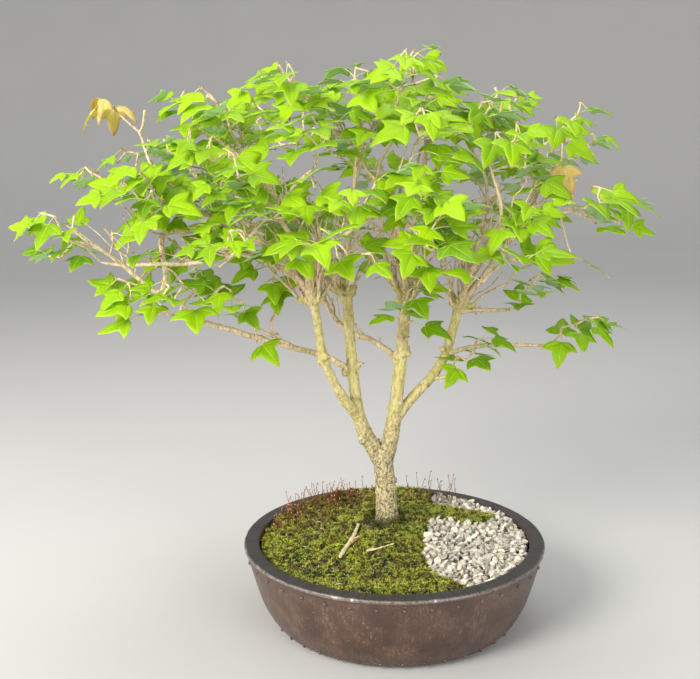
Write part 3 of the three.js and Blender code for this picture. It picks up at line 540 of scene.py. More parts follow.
def leaf_material(name, deep, bright, vein, margin, glow, tips, tip_share):
    """A leaf blade's face: veins and margins paler, each leaf with its own tone, which carries painted
    light and shade.
    """
    paint = Paint(name)
    across, along, edge = split(paint, paint.mark("leaf_place", "Vector"))
    tone = paint.mark("tone")
    across = paint.calc("ABSOLUTE", across)
    midrib = paint.calc("DIVIDE", across, paint.step(along, 0, 32, 0.95, 0.3))
    lobe = paint.calc("SUBTRACT", paint.times(across, math.cos(LOBE_TURN)),
                      paint.times(along, math.sin(LOBE_TURN)))
    lobe = paint.calc("DIVIDE", paint.calc("ABSOLUTE", lobe), paint.step(across, 0, 19, 0.8, 0.25))
    main = paint.step(paint.calc("MINIMUM", midrib, lobe), 1.0, 0.25)
    ribs = paint.calc("SUBTRACT", along, paint.times(across, 0.85))
    ribs = paint.calc("PINGPONG", ribs, 2.1)
    minor = paint.times(paint.step(ribs, 0.42, 0.1), 0.4)
    veins = paint.calc("MAXIMUM", main, minor)
    clouds = paint.noise(9, 4)
    # The leaf's tone, which is partly painted light and shade, sets it between deep and bright.
    shade = paint.plus(paint.times(tone, 0.75), paint.times(clouds, 0.3))
    colour = paint.mix(shade, deep, bright)
    rim = paint.step(edge, 0.86, 1.0)
    colour = paint.over(colour, rim, 0.34, margin)
    scorched = paint.plus(paint.step(along, 17, 31, 0, 0.6), paint.step(clouds, 0.5, 0.8, 0, 0.5))
    scorched = paint.times(scorched, paint.step(edge, 0.3, 1.0))
    colour = paint.over(colour, scorched, tip_share, tips)
    colour = paint.over(colour, veins, 0.6, vein)
    spots = paint.step(paint.noise(2.4, 3), 0.72, 0.78)
    colour = paint.over(colour, spots, 0.3, margin)
    fine = paint.noise(0.8, 3)
    roughness = paint.plus(paint.times(fine, 0.16), 0.33)
    height = paint.plus(paint.times(veins, -0.5), paint.times(fine, 0.25))
    normal = paint.bump(height, 0.35)
    solid = paint.shader(colour, roughness, normal, Specular_IOR_Level=0.34)
    lit = paint.mix(0.65, colour, glow)
    behind = paint.add("ShaderNodeBsdfTranslucent", {"Color": lit, "Normal": normal}).outputs[0]
    return paint.finish(paint.add("ShaderNodeMixShader", {0: 0.4, 1: solid, 2: behind}).outputs[0])


def stalk_material(name, low, high):
    """Smooth green or reddish skin of leaf stalks, buds and moss stalks."""
    paint = Paint(name)
    tone = paint.mark("tone")
    clouds = paint.noise(4, 4)
    colour = paint.mix(paint.plus(paint.times(tone, 0.6), paint.times(clouds, 0.4)), low, high)
    roughness = paint.plus(paint.times(clouds, 0.2), 0.4)
    return paint.finish(paint.shader(colour, roughness, paint.bump(clouds, 0.2)))


def floor_material():
    paint = Paint("studio_floor")
    clouds = paint.noise(260, 3)
    colour = paint.mix(clouds, rgb(186, 184, 180), rgb(191, 189, 185))
    return paint.finish(paint.shader(colour, 0.75))


POT_PLASTIC = pot_material()
SCREEN_MESH = screen_material()
SOIL_GRAINS = soil_material()
MOSS_FRONDS = moss_material()
STONES = stone_material()
BARK = bark_material("bark_old", rgb(108, 88, 52), rgb(172, 155, 98), rgb(214, 200, 146), 0.5, 1.0)
TWIG_BARK = bark_material("bark_twigs", rgb(132, 100, 68), rgb(196, 170, 128), rgb(228, 208, 172),
                          0.12, 0.0)
DEAD_WOOD = bark_material("dead_wood", rgb(126, 102, 68), rgb(202, 182, 136), rgb(230, 214, 174),
                          0.08, 0.0)
LEAF_TOP = leaf_material("leaf_top", rgb(66, 122, 0), rgb(184, 224, 8), rgb(206, 226, 70),
                         rgb(214, 232, 50), rgb(206, 236, 0), rgb(200, 176, 40), 0.22)
# The underside is paler than the top: its own colour, raised further as painted light where the undersides
# lie in shade.
LEAF_BELOW = leaf_material("leaf_underside", rgb(164, 204, 148), rgb(208, 232, 182), rgb(222, 238, 194),
                           rgb(196, 216, 124), rgb(196, 228, 90), rgb(190, 184, 90), 0.15)
DRY_TOP = leaf_material("dried_leaf", rgb(214, 160, 100), rgb(230, 236, 128), rgb(244, 238, 176),
                        rgb(224, 158, 112), rgb(236, 224, 128), rgb(214, 128, 92), 0.8)
STALK = stalk_material("leaf_stalk", rgb(150, 176, 70), rgb(206, 208, 124))
BUD = stalk_material("bud_scales", rgb(146, 102, 74), rgb(196, 154, 118))
MOSS_STALK = stalk_material("moss_stalk", rgb(88, 34, 18), rgb(140, 70, 38))
CAPSULE = stalk_material("moss_capsule", rgb(150, 84, 54), rgb(208, 152, 118))


# ---------- Meshes ----------


class Heap:
    """Many closed shapes gathered into one mesh, with values marked at their points."""

    def __init__(self):
        self.points, self.faces, self.finishes, self.marks = [], [], [], {}
        self.count = 0

    def add(self, shape, finish=0, **marks):
        """Adds a shape (points, triangles). A mark is one value, or one for each point."""
        points, faces = shape
        for key, value in marks.items():
            value = np.asarray(value, float)
            full = value if value.ndim else np.full(len(points), value)
            self.marks.setdefault(key, []).append(full)
        self.points.append(points)
        self.faces.append(faces + self.count)
        self.finishes.append(np.full(len(faces), finish) if np.ndim(finish) == 0 else finish)
        self.count += len(points)

    def make(self, name, materials, smooth=True):
        points, faces = np.concatenate(self.points), np.concatenate(self.faces)
        piece = mesh_object(name, points, faces, materials, np.concatenate(self.finishes), smooth)
        for key, values in self.marks.items():
            values = np.concatenate(values)
            kind, field = ("FLOAT", "value") if values.ndim == 1 else ("FLOAT_VECTOR", "vector")
            stored = piece.data.attributes.new(key, kind, "POINT")
            stored.data.foreach_set(field, values.astype(np.float32).ravel())
        return piece


def mesh_object(name, points, triangles, materials, finishes=None, smooth=True):
    """A new object in the scene from points, in metres, and triangles."""
    mesh = bpy.data.meshes.new(name)
    mesh.vertices.add(len(points))
    mesh.vertices.foreach_set("co", np.asarray(points, np.float32).ravel())
    mesh.loops.add(3 * len(triangles))
    mesh.loops.foreach_set("vertex_index", np.asarray(triangles, np.int32).ravel())
    mesh.polygons.add(len(triangles))
    mesh.polygons.foreach_set("loop_start", np.arange(0, 3 * len(triangles), 3, dtype=np.int32))
    if finishes is not None:
        mesh.polygons.foreach_set("material_index", np.asarray(finishes, np.int32))
    mesh.polygons.foreach_set("use_smooth", np.full(len(triangles), smooth))
    mesh.update(calc_edges=True)
    piece = bpy.data.objects.new(name, mesh)
    bpy.context.scene.collection.objects.link(piece)
    for material in materials:
        mesh.materials.append(material)
    return piece


def arrays_of(piece):
    """The points and triangles of an object, with its modifiers applied."""
    mesh = piece.evaluated_get(bpy.context.evaluated_depsgraph_get()).to_mesh()
    mesh.calc_loop_triangles()
    points = np.zeros(3 * len(mesh.vertices))
    mesh.vertices.foreach_get("co", points)
    triangles = np.zeros(3 * len(mesh.loop_triangles), np.int32)
    mesh.loop_triangles.foreach_get("vertices", triangles)
    return points.reshape(-1, 3), triangles.reshape(-1, 3)


def used_up(piece):
    """The arrays of a working object, which is then deleted."""
    shape = arrays_of(piece)
    bpy.data.objects.remove(piece)
    return shape


def normals_of(points, triangles):
    """Unit normals at the points of a mesh."""
    a, b, c = (points[triangles[:, i]] for i in range(3))
    flat = np.cross(b - a, c - a)
    total = np.zeros_like(points)
    for i in range(3):
        np.add.at(total, triangles[:, i], flat)
    return total / np.maximum(np.linalg.norm(total, axis=1, keepdims=True), 1e-12)


def unit(vector):
    return vector / max(np.linalg.norm(vector), 1e-9)


def gusts(chance, *spreads):
    """Random numbers about zero, with a spread for each."""
    return np.array([chance.gauss(0, spread) for spread in spreads])


def wander(chance, spread, rise):
    """A direction with a given rise that leans to the sides at random."""
    return np.array([*gusts(chance, spread, spread), rise])


def towards(turn, rise):
    """The direction of a turn about the upright and a rise from the level."""
    flat = math.cos(rise)
    return np.array([math.cos(turn) * flat, math.sin(turn) * flat, math.sin(rise)])


def grid_faces(rows, columns, closed):
    """Triangles between rows of points; `closed` rows join their last point to their first."""
    i, j = np.meshgrid(np.arange(rows - 1), np.arange(columns if closed else columns - 1), indexing="ij")
    a, b = i * columns + j, i * columns + (j + 1) % columns
    c, d = b + columns, a + columns
    lower, upper = np.stack([a, b, c], -1), np.stack([a, c, d], -1)
    return np.concatenate([lower.reshape(-1, 3), upper.reshape(-1, 3)])


def fan(centre, ring, outward):
    """Triangles from a middle point to a ring of points."""
    ring = np.asarray(ring)
    after = np.roll(ring, -1)
    ends = (ring, after) if outward else (after, ring)
    return np.stack([np.full(len(ring), centre), *ends], -1)


def tube(points, radii, sides):
    """A closed round rod along points, with rounded ends."""
    points, radii = np.asarray(points, float), np.asarray(radii, float)
    tangents = np.gradient(points, axis=0)
    tangents /= np.maximum(np.linalg.norm(tangents, axis=1, keepdims=True), 1e-12)
    u = unit(np.cross(tangents[0], [0.31, 0.95, 0.05]))
    turns = np.arange(sides) * TAU / sides
    rings = []
    for place, tangent, radius in zip(points, tangents, radii):
        u = unit(u - tangent * (u @ tangent))
        w = np.cross(tangent, u)
        rings.append(place + radius * (np.outer(np.cos(turns), u) + np.outer(np.sin(turns), w)))
    start = points[0] - tangents[0] * radii[0] * 0.6
    end = points[-1] + tangents[-1] * radii[-1] * 0.6
    corners = np.concatenate([*rings, [start, end]])
    count = len(points) * sides
    faces = np.concatenate([
        grid_faces(len(points), sides, closed=True),
        fan(count, np.arange(sides), outward=False),
        fan(count + 1, np.arange(count - sides, count), outward=True),
    ])
    return corners, faces


def smooth_route(points, step):
    """[x, y, z, radius] about every `step` along the smooth curve through a few such points."""
    points = np.asarray(points, float)
    padded = np.concatenate([[2 * points[0] - points[1]], points, [2 * points[-1] - points[-2]]])
    route = []
    for a, b, c, d in zip(padded, padded[1:], padded[2:], padded[3:]):
        count = max(1, round(np.linalg.norm((c - b)[:3]) / step))
        for t in np.arange(count) / count:
            tangents = (c - a) * t + (2 * a - 5 * b + 4 * c - d) * t**2 + (3 * b - a - 3 * c + d) * t**3
            route.append(b + 0.5 * tangents)
    return np.array([*route, points[-1]])


def turned_rings(profile, count):
    """The rings of a turned shape, with `count` corners each, for a [radius, height] profile."""
    turns = np.arange(count) * TAU / count
    return [np.stack([r * np.cos(turns), r * np.sin(turns), np.full(count, z)], -1) for r, z in profile]


def ball(centre, radii, turns, rows):
    """A closed rounded blob."""
    tilt = (np.arange(rows) + 1) * math.pi / (rows + 1)
    spin = np.arange(turns) * TAU / turns
    ring = np.stack([np.outer(np.sin(tilt), np.cos(spin)), np.outer(np.sin(tilt), np.sin(spin)),
                     np.outer(np.cos(tilt), np.ones(turns))], -1).reshape(-1, 3)
    points = np.concatenate([ring, [[0, 0, 1], [0, 0, -1]]]) * radii
    count = rows * turns
    faces = np.concatenate([
        grid_faces(rows, turns, closed=True)[:, ::-1],
        fan(count, np.arange(turns), outward=True),
        fan(count + 1, np.arange(count - turns, count), outward=False),
    ])
    return points + centre, faces


def remeshed(shape, voxel, smoothing=0):
    """A shape's outer surface as an even mesh of one closed body."""
    piece = mesh_object("working", *shape, [])
    remesh = piece.modifiers.new("remesh", "REMESH")
    remesh.mode, remesh.voxel_size = "VOXEL", voxel
    if smoothing:
        soften = piece.modifiers.new("soften", "SMOOTH")
        soften.factor, soften.iterations = 0.5, smoothing
    return used_up(piece)


def relief(points, waves):
    """Noise at each point, as the sum of its (amplitude, feature) waves."""
    return np.array([sum(size * noise.noise(Vector(p) / feature) for size, feature in waves)
                     for p in points])


def roughened(shape, waves):
    """A shape with its points pushed along their normals by noise, as (amplitude, feature) waves."""
    points, triangles = shape
    return points + normals_of(points, triangles) * relief(points, waves)[:, None], triangles


def ground(x, y):
    """Height of the soil in metres at a place in metres."""
    away = np.hypot(x / MM - GROUND["x"], y / MM - GROUND["y"]) / GROUND["reach"]
    slope = GROUND["rise"] * (0.5 + y / MM / (2 * POT["lip_inside"]))
    return (GROUND["front"] + slope + GROUND["mound"] * np.exp(-(away**2))) * MM


def cad_shape(node):
    """A CAD node's points and triangles, without double points."""
    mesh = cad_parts[node].data
    mesh.calc_loop_triangles()
    points = np.zeros(3 * len(mesh.vertices))
    mesh.vertices.foreach_get("co", points)
    triangles = np.zeros(3 * len(mesh.loop_triangles), np.int32)
    mesh.loop_triangles.foreach_get("vertices", triangles)
    keys = np.round(points.reshape(-1, 3) / 2e-5).astype(np.int64)
    _, first, same = np.unique(keys, axis=0, return_index=True, return_inverse=True)
    return points.reshape(-1, 3)[first], same.reshape(-1)[triangles].reshape(-1, 3)


def camera_axes():
    """The camera's directions to its right, up and ahead."""
    pitch, yaw, roll = (math.radians(CAMERA[key]) for key in ("pitch", "yaw", "roll"))
    ahead = Vector((math.sin(yaw) * math.cos(pitch), math.cos(yaw) * math.cos(pitch), -math.sin(pitch)))
    level = Vector((math.cos(yaw), -math.sin(yaw), 0))
    upright = level.cross(ahead)
    right = math.cos(roll) * level + math.sin(roll) * upright
    top = math.cos(roll) * upright - math.sin(roll) * level
    return right, top, ahead


def seen_at(pixel, depth):
    """The place that the photograph shows at a pixel, at a depth y, in millimetres."""
    right, top, ahead = (np.array(axis) for axis in camera_axes())
    focal = PHOTO["width"] * CAMERA["lens"] / SENSOR
    across, down = (np.array(pixel) - PHOTO["middle"]) / focal
    ray = ahead + across * right - down * top
    eye = np.array(CAMERA["place"]) / MM
    return eye + ray * (depth - eye[1]) / ray[1]


def place_piece(piece, slot, *nodes):
    """A piece rides on the part's one body and stands for CAD nodes, which are hidden; `slot` is not used.
    """
    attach(piece, "root")
    if nodes:
        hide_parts(*nodes)
    return piece


# ---------- Pot ----------


def pot_shape():
    """The pot's turned body as points and triangles, with its drain holes cut out."""
    outside = smooth_route([[r, 0, z, 0] for r, z in POT_WALL_OUTSIDE], 3.0)[:, [0, 2]]
    inside = smooth_route([[r, 0, z, 0] for r, z in POT_WALL_INSIDE], 4.0)[:, [0, 2]]
    profile = np.concatenate([outside, POT_BAND, inside]) * MM
    count = len(profile) * POT_TURNS
    corners = np.concatenate([*turned_rings(profile, POT_TURNS), [[0, 0, 0], [0, 0, POT["floor"] * MM]]])
    faces = np.concatenate([
        grid_faces(len(profile), POT_TURNS, closed=True),
        fan(count, np.arange(POT_TURNS), outward=False),
        fan(count + 1, np.arange(count - POT_TURNS, count), outward=True),
    ])
    body = mesh_object("working_pot", corners, faces, [])
    cutters = Heap()
    for side in (-1, 1):
        path = [[side * DRAIN["x"] * MM, 0, z * MM] for z in (-8, 5, 18)]
        cutters.add(tube(path, [DRAIN["radius"] * MM] * 3, 48))
    cutter = cutters.make("working_cutter", [])
    cut = body.modifiers.new("drains", "BOOLEAN")
    cut.operation, cut.object, cut.solver = "DIFFERENCE", cutter, "EXACT"
    shape = used_up(body)
    bpy.data.objects.remove(cutter)
    return shape


def make_pot():
    chance = random.Random(11)
    points, faces = pot_shape()
    radius, turn = np.hypot(points[:, 0], points[:, 1]), np.arctan2(points[:, 1], points[:, 0])
    on_edge = np.exp(-(((radius / MM - POT["rim"]) / 1.5) ** 2 + ((points[:, 2] / MM - 75.4) / 1.6) ** 2))
    # A mark on the rim's bead and its nicks, for wear and for the painted highlight and glints there.
    wear = 0.34 * on_edge
    for _ in range(RIM_NICKS):
        centre = chance.uniform(-math.pi, math.pi)
        width = chance.uniform(0.8, 3.2)
        depth = chance.uniform(0.2, 1)
        apart = (turn - centre + math.pi) % TAU - math.pi
        nick = on_edge * np.exp(-((apart * POT["rim"] / width) ** 2)) * depth
        wear = np.maximum(wear, nick)
        points = points * (1 - 0.0028 * nick[:, None])
    waviness = 0.25 * MM * np.array([noise.noise(Vector(p) * 22) for p in points])
    wall = (points[:, 2] > 3 * MM) & (points[:, 2] < 71 * MM) & (radius > 100 * MM)
    points[:, :2] *= 1 + (waviness * wall / np.maximum(radius, 0.01))[:, None]
    heap = Heap()
    heap.add((points, faces), wear=wear * (points[:, 2] > 60 * MM))
    wall_r, wall_z = np.array(POT_WALL_OUTSIDE).T
    for height in STUDS["heights"]:
        reach = np.interp(height, wall_z, wall_r)
        for i in range(STUDS["count"]):
            angle = (i + 0.5) * TAU / STUDS["count"] + math.radians(STUDS["turn"])
            centre = np.array([reach * math.cos(angle), reach * math.sin(angle), height]) * MM
            stud = ball(centre, STUDS["radius"] * MM * np.ones(3), 14, 9)
            heap.add(stud, wear=np.full(len(stud[0]), chance.uniform(0.0, 0.12)))
    place_piece(heap.make("bowl_pot", [POT_PLASTIC]), "pot", "pot")


# ---------- Ground ----------


def make_soil():
    shape = remeshed(cad_shape("soil"), 2.2 * MM)
    points, faces = shape
    top = normals_of(points, faces)[:, 2] > 0.5
    lift = 0.5 * MM * relief(points, [(1, 3.2 * MM)])
    points[:, 2] += np.where(top & (points[:, 2] > 50 * MM), lift, 0)
    place_piece(mesh_object("potting_soil", points, faces, [SOIL_GRAINS]), "soil", "soil")


def moss_height(points):
    """How far the moss stands above its CAD layer at some places: lumps, hollows, and a fall at the rim."""
    lumps = [noise.noise(Vector((x, y, 0)) / (17 * MM)) + 0.7 * noise.noise(Vector((x, y, 1)) / (6 * MM))
             for x, y, _ in points]
    radius = np.hypot(points[:, 0], points[:, 1]) / MM
    back = np.clip((points[:, 1] / MM - 34) / 60, 0, 1)
    fall = np.clip((radius - 112) / 14, 0, 1) ** 2 * (1 - 0.8 * back)
    hollow = np.exp(-(np.hypot(points[:, 0] / MM + 20, points[:, 1] / MM - 4) / 9) ** 2)
    return (2.5 * np.array(lumps) + 4.0 * back - 2.6 * fall - 3.4 * hollow) * MM


def moss_bed(node):
    """One bed of moss: a lumpy, closed base. Returns the places and normals of its top, too."""
    points, faces = remeshed(cad_shape(node), MOSS["voxel"] * MM, 1)
    normals = normals_of(points, faces)
    on_top = normals[:, 2] > 0.35
    fine = relief(points, [(1, 1.9 * MM), (0.5, 0.9 * MM)])
    points[:, 2] += np.where(on_top, moss_height(points) + 0.55 * MM * fine, 0)
    heap = Heap()
    heap.add((points, faces), tone=np.clip(0.5 + 0.5 * fine, 0, 0.9), rise=np.clip(0.38 + 0.4 * fine, 0, 1))
    place_piece(heap.make(node + "_bed", [MOSS_FRONDS]), "moss", node)
    return points[on_top], normals_of(points, faces)[on_top]


def spike(base, direction, length, width, bend):
    """A thin bent needle: a three-sided rod that comes to a point."""
    u = unit(np.cross(direction, [0.3, 0.2, 0.9]))
    w = np.cross(direction, u)
    turns = np.arange(3) * TAU / 3
    ring = np.outer(np.cos(turns), u) + np.outer(np.sin(turns), w)
    waist = base + direction * length * 0.55
    points = np.concatenate([base + width * ring, waist + 0.8 * width * ring + 0.3 * bend,
                             [base + direction * length + bend]])
    faces = np.concatenate([grid_faces(2, 3, closed=True), [[0, 2, 1]], fan(6, [3, 4, 5], outward=True)])
    return points, faces


SPIKE_RISE = np.array([0, 0, 0, 0.6, 0.6, 0.6, 1.0])


def moss_tufts(name, places, normals, chance, share):
    """Tufts of fine needles over a moss bed; `share` is the chance that each place has one."""
    heap = Heap()
    for place, normal in zip(places, normals):
        if chance.random() > share:
            continue
        tone = chance.random()
        straw = tone > 0.985
        size = chance.uniform(0.75, 1.25) * (1.5 if straw else 1)
        lean = unit(normal + 0.25 * wander(chance, 1, 0))
        for _ in range(2 if straw else 5):
            spread = gusts(chance, 1, 1, 0.3)
            direction = unit(lean + 0.62 * spread)
            bend = 0.35 * MM * wander(chance, 1, -0.8)
            length = chance.uniform(2.0, 4.0) * size * MM
            start = place - 0.5 * MM * normal + 0.35 * MM * spread
            shape = spike(start, direction, length, 0.3 * size * MM, bend)
            heap.add(shape, tone=tone, rise=0.25 + 0.75 * SPIKE_RISE)
    place_piece(heap.make(name, [MOSS_FRONDS]), "moss")


def make_moss():
    chance = random.Random(23)
    for node in ("moss_cushion", "moss_strip", "moss_patch"):
        places, normals = moss_bed(node)
        share = MOSS["tufts"] * MOSS["voxel"] ** 2
        if node != "moss_cushion":
            moss_tufts(node + "_tufts", places, normals, chance, 1.4 * share)
            continue
        bands = np.digitize(places[:, 1] / MM, MOSS_BANDS)
        for band in range(len(MOSS_BANDS) + 1):
            chosen = bands == band
            moss_tufts(f"moss_cushion_tufts_{band + 1}", places[chosen], normals[chosen], chance, share)


def make_dark_tufts():
    """A little dark tuft in the fork above the trunk, and moss that creeps up the trunk's foot, both
    painted near black as shade.
    """
    chance = random.Random(29)
    fork_x, fork_y = DARK_TUFTS["fork"]
    places = []
    for _ in range(DARK_TUFTS["in_fork"]):
        x, y = chance.gauss(fork_x, 2.4), chance.gauss(fork_y, 2.6)
        places.append(np.array([x, y, chance.uniform(*DARK_TUFTS["heights"])]) * MM)
    for _ in range(DARK_TUFTS["round_foot"]):
        turn, up = chance.uniform(0, TAU), abs(chance.gauss(0, 3.2))
        reach = chance.uniform(15.5, 21) - 0.55 * up
        x, y = TRUNK_FOOT[0] + reach * math.cos(turn), TRUNK_FOOT[1] + reach * math.sin(turn)
        places.append(np.array([x, y, ground(x * MM, y * MM) / MM + MOSS["thickness"] + up - 1.5]) * MM)
    heap = Heap()
    for place in places:
        direction = unit(UP + 0.7 * wander(chance, 1, 0))
        bend = 0.5 * MM * wander(chance, 1, -0.5)
        shape = spike(place, direction, chance.uniform(3, 6) * MM, 0.35 * MM, bend)
        # A low rise makes the moss material paint these tufts near black: painted shade.
        heap.add(shape, tone=0.2, rise=0.2 + 0.3 * SPIKE_RISE)
    place_piece(heap.make("dark_moss_tufts", [MOSS_FRONDS]), "moss")


def sporophyte(heap, foot, height, chance):
    """One moss capsule on its thin stalk."""
    lean = wander(chance, 0.24, 1.0)
    bow = 1.6 * MM * wander(chance, 1, 0)
    route = [foot + lean * height * t + bow * math.sin(3 * t) for t in np.linspace(0, 1, 5)]
    heap.add(tube(route, [0.3 * MM, 0.27 * MM, 0.24 * MM, 0.22 * MM, 0.2 * MM], 4), 0, tone=chance.random())
    size = chance.uniform(1.0, 1.45)
    end = route[-1] + np.array([0.4, 0, 0.3]) * MM
    heap.add(ball(end, np.array([0.55, 0.55, 0.75]) * size * MM, 6, 4), 1, tone=chance.random())


def make_sporophytes():
    chance = random.Random(5)
    heap = Heap()
    for (x, y), (wide, deep), count, heights in CAPSULE_CLUMPS:
        for _ in range(count):
            place = np.array([chance.gauss(x, wide / 2), chance.gauss(y, deep / 2)])
            if np.hypot(*place) > CAPSULE_REACH:
                place *= CAPSULE_REACH / np.hypot(*place)
            foot = np.array([*place * MM, 0])
            foot[2] = ground(foot[0], foot[1]) + MOSS["thickness"] * MM + moss_height(foot[None])[0]
            sporophyte(heap, foot, chance.uniform(*heights) * MM, chance)
    place_piece(heap.make("moss_capsules", [MOSS_STALK, CAPSULE]), "moss")


def inside(x, y, outline):
    """True where a place is inside an outline."""
    hit = False
    for (x1, y1), (x2, y2) in zip(outline, outline[1:] + outline[:1]):
        if (y1 > y) != (y2 > y) and x < (x2 - x1) * (y - y1) / (y2 - y1) + x1:
            hit = not hit
    return hit


def stone_kinds(count, seed):
    """A few crushed stones about one unit in radius: balls with flat faces broken off."""
    chance = random.Random(seed)
    kinds = []
    for _ in range(count):
        block = bmesh.new()
        bmesh.ops.create_icosphere(block, subdivisions=2, radius=1.0)
        points = np.array([v.co[:] for v in block.verts])
        faces = np.array([[v.index for v in f.verts] for f in block.faces])
        block.free()
        for _ in range(chance.randint(9, 13)):
            across = unit(gusts(chance, 1, 1, 1))
            limit = chance.uniform(0.4, 0.72)
            beyond = np.maximum(points @ across - limit, 0)
            points = points - beyond[:, None] * across
        shape = [chance.uniform(1.3, 1.95), chance.uniform(1.0, 1.25), chance.uniform(0.8, 1.1)]
        kinds.append((points * shape, faces))
    return kinds


def random_turn(chance):
    """A random rotation that tips less than it spins."""
    spin = Matrix.Rotation(chance.uniform(0, TAU), 3, "Z")
    tip_x, tip_y = (Matrix.Rotation(chance.gauss(0, 0.5), 3, axis) for axis in "XY")
    return np.array(tip_x @ tip_y @ spin)


def scatter(outline, spacing, chance, margin):
    """Places in millimetres inside an outline and the pot's mouth, at least `spacing` apart."""
    xs, ys = zip(*outline)
    taken, cell = {}, spacing / math.sqrt(2)
    for _ in range(26000):
        x, y = chance.uniform(min(xs), max(xs)), chance.uniform(min(ys), max(ys))
        if math.hypot(x, y) > SOIL_RADIUS - margin or not inside(x, y, outline):
            continue
        i, j = int(x // cell), int(y // cell)
        near = [taken[k, l] for k in range(i - 2, i + 3) for l in range(j - 2, j + 3) if (k, l) in taken]
        if all(math.hypot(x - a, y - b) >= spacing for a, b in near):
            taken[i, j] = (x, y)
    return list(taken.values())


def lay_stones(name, outline, node, seed):
    """Loose stones in layers over the soil, in place of a CAD node."""
    chance = random.Random(seed)
    kinds = stone_kinds(14, seed)
    heap = Heap()
    for layer, (share, damp) in enumerate(STONE_LAYERS):
        for x, y in scatter(outline, STONE["spacing"] * share, chance, 3.0 + 0.6 * layer):
            size = chance.uniform(*STONE["size"]) * MM
            size = size * (BIG_STONE["size"] if chance.random() < BIG_STONE["chance"] else 1)
            size = size * STONE["share"]
            points, faces = chance.choice(kinds)
            z = ground(x * MM, y * MM) + (STONE["lift"] + layer * STONE["layer"]) * MM
            z += 0.5 * MM * noise.noise(Vector((x, y, layer)) / 12)
            centre = np.array([x * MM, y * MM, z])
            shape = (points * size @ random_turn(chance).T + centre, faces)
            heap.add(shape, tone=chance.random(), warm=chance.random(), damp=damp)
    place_piece(heap.make(name, [STONES], smooth=False), "gravel", node)


def make_gravel():
    lay_stones("gravel_stones", GRAVEL_OUTLINE, "gravel_bed", 31)
    lay_stones("gravel_strip_stones", GRAVEL_STRIP_OUTLINE, "gravel_strip", 32)
    low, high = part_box("edge_stone")
    points, faces = stone_kinds(1, 77)[0]
    points = points / np.abs(points).max(0) * (np.array(high) - np.array(low)) / 2
    block = bmesh.new()
    corners = [block.verts.new(p) for p in points + (np.array(high) + np.array(low)) / 2]
    for face in faces:
        block.faces.new([corners[i] for i in face])
    bmesh.ops.subdivide_edges(block, edges=block.edges, cuts=2, use_grid_fill=True)
    bmesh.ops.triangulate(block, faces=block.faces)
    block.verts.index_update()
    shape = (np.array([v.co[:] for v in block.verts]),
             np.array([[v.index for v in f.verts] for f in block.faces]))
    block.free()
    heap = Heap()
    heap.add(roughened(shape, [(0.3 * MM, 2.2 * MM)]), tone=0.9, warm=0.62, damp=0.0)
    place_piece(heap.make("large_stone", [STONES], smooth=False), "gravel", "edge_stone")


def dead_twig(points, sides, chance, knots):
    """A dry twig's shape over [x, y, z, radius] points, with knots."""
    route = smooth_route(points, 1.2)
    radii = route[:, 3] * [1 + 0.14 * noise.noise(Vector(p[:3]) / 3) for p in route]
    for _ in range(knots):
        at = chance.randrange(len(route))
        radii = radii * (1 + 0.35 * np.exp(-(((np.arange(len(route)) - at) / 1.4) ** 2)))
    shape = tube(route[:, :3] * MM, radii * MM, sides)
    return roughened(shape, [(0.12 * MM, 1.3 * MM)])


def make_fallen_twigs():
    chance = random.Random(41)
    for name, node, points in FALLEN_TWIGS:
        _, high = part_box(node)
        lift = [[x, y, ground(x * MM, y * MM) / MM, r] for x, y, r in points]
        drop = high.z / MM - max(z + r for _, _, z, r in lift)
        route = [[x, y, z + drop, r] for x, y, z, r in lift]
        heap = Heap()
        heap.add(dead_twig(route, 9, chance, 3), tone=0.5)
        if node == "fallen_twig_long":
            middle = route[1]
            stub = [middle[:3] + [0.9], [middle[0] + 4, middle[1] - 3, middle[2] + 2.4, 0.6],
                    [middle[0] + 6, middle[1] - 5, middle[2] + 4.4, 0.35]]
            heap.add(dead_twig(stub, 6, chance, 0), tone=0.4)
        place_piece(heap.make(name, [DEAD_WOOD]), "deadwood", node)


def make_litter():
    """Bits of straw and bud scales on the moss, and a small red forked twig."""
    chance = random.Random(52)
    heap = Heap()
    for _ in range(LITTER["straws"]):
        x, y = chance.uniform(-112, 30), chance.uniform(-112, 100)
        if math.hypot(x, y) > LITTER["reach"] or math.hypot(x + 6, y - 15) < LITTER["off_trunk"]:
            continue
        height = ground(x * MM, y * MM) / MM + MOSS["thickness"] + 2.2
        turn, length = chance.uniform(0, TAU), chance.uniform(2, 7)
        step = np.array([math.cos(turn), math.sin(turn), chance.uniform(-0.1, 0.25)]) * length / 2
        middle = np.array([x, y, height])
        radius = chance.uniform(0.2, 0.42)
        points = [[*(middle - step), radius], [*(middle + [0, 0, 0.3]), radius],
                  [*(middle + step), radius * 0.5]]
        heap.add(dead_twig(points, 4, chance, 0), 0, tone=chance.random(), warm=0.3, damp=0.0)
    for stretch in RED_FORK:
        points = [[x, y, ground(x * MM, y * MM) / MM + 7.6, r] for x, y, r in stretch]
        heap.add(dead_twig(points, 6, chance, 1), 1, tone=0.4, warm=0.3, damp=0.0)
    kinds = stone_kinds(6, 53)
    for _ in range(LITTER["grit"]):
        x, y = chance.gauss(-20, 3.4), chance.gauss(5, 4.4)
        centre = np.array([x, y, ground(x * MM, y * MM) / MM + MOSS["thickness"] - 0.6]) * MM
        points, faces = chance.choice(kinds)
        shape = (points * chance.uniform(1.0, 2.2) * MM @ random_turn(chance).T + centre, faces)
        # The grit in the hollow by the trunk's foot is darkened fully: painted shade.
        heap.add(shape, 2, tone=0.0, warm=0.3, damp=1.0)
    place_piece(heap.make("ground_litter", [DEAD_WOOD, BUD, STONES]), "deadwood")


# ---------- Wood ----------


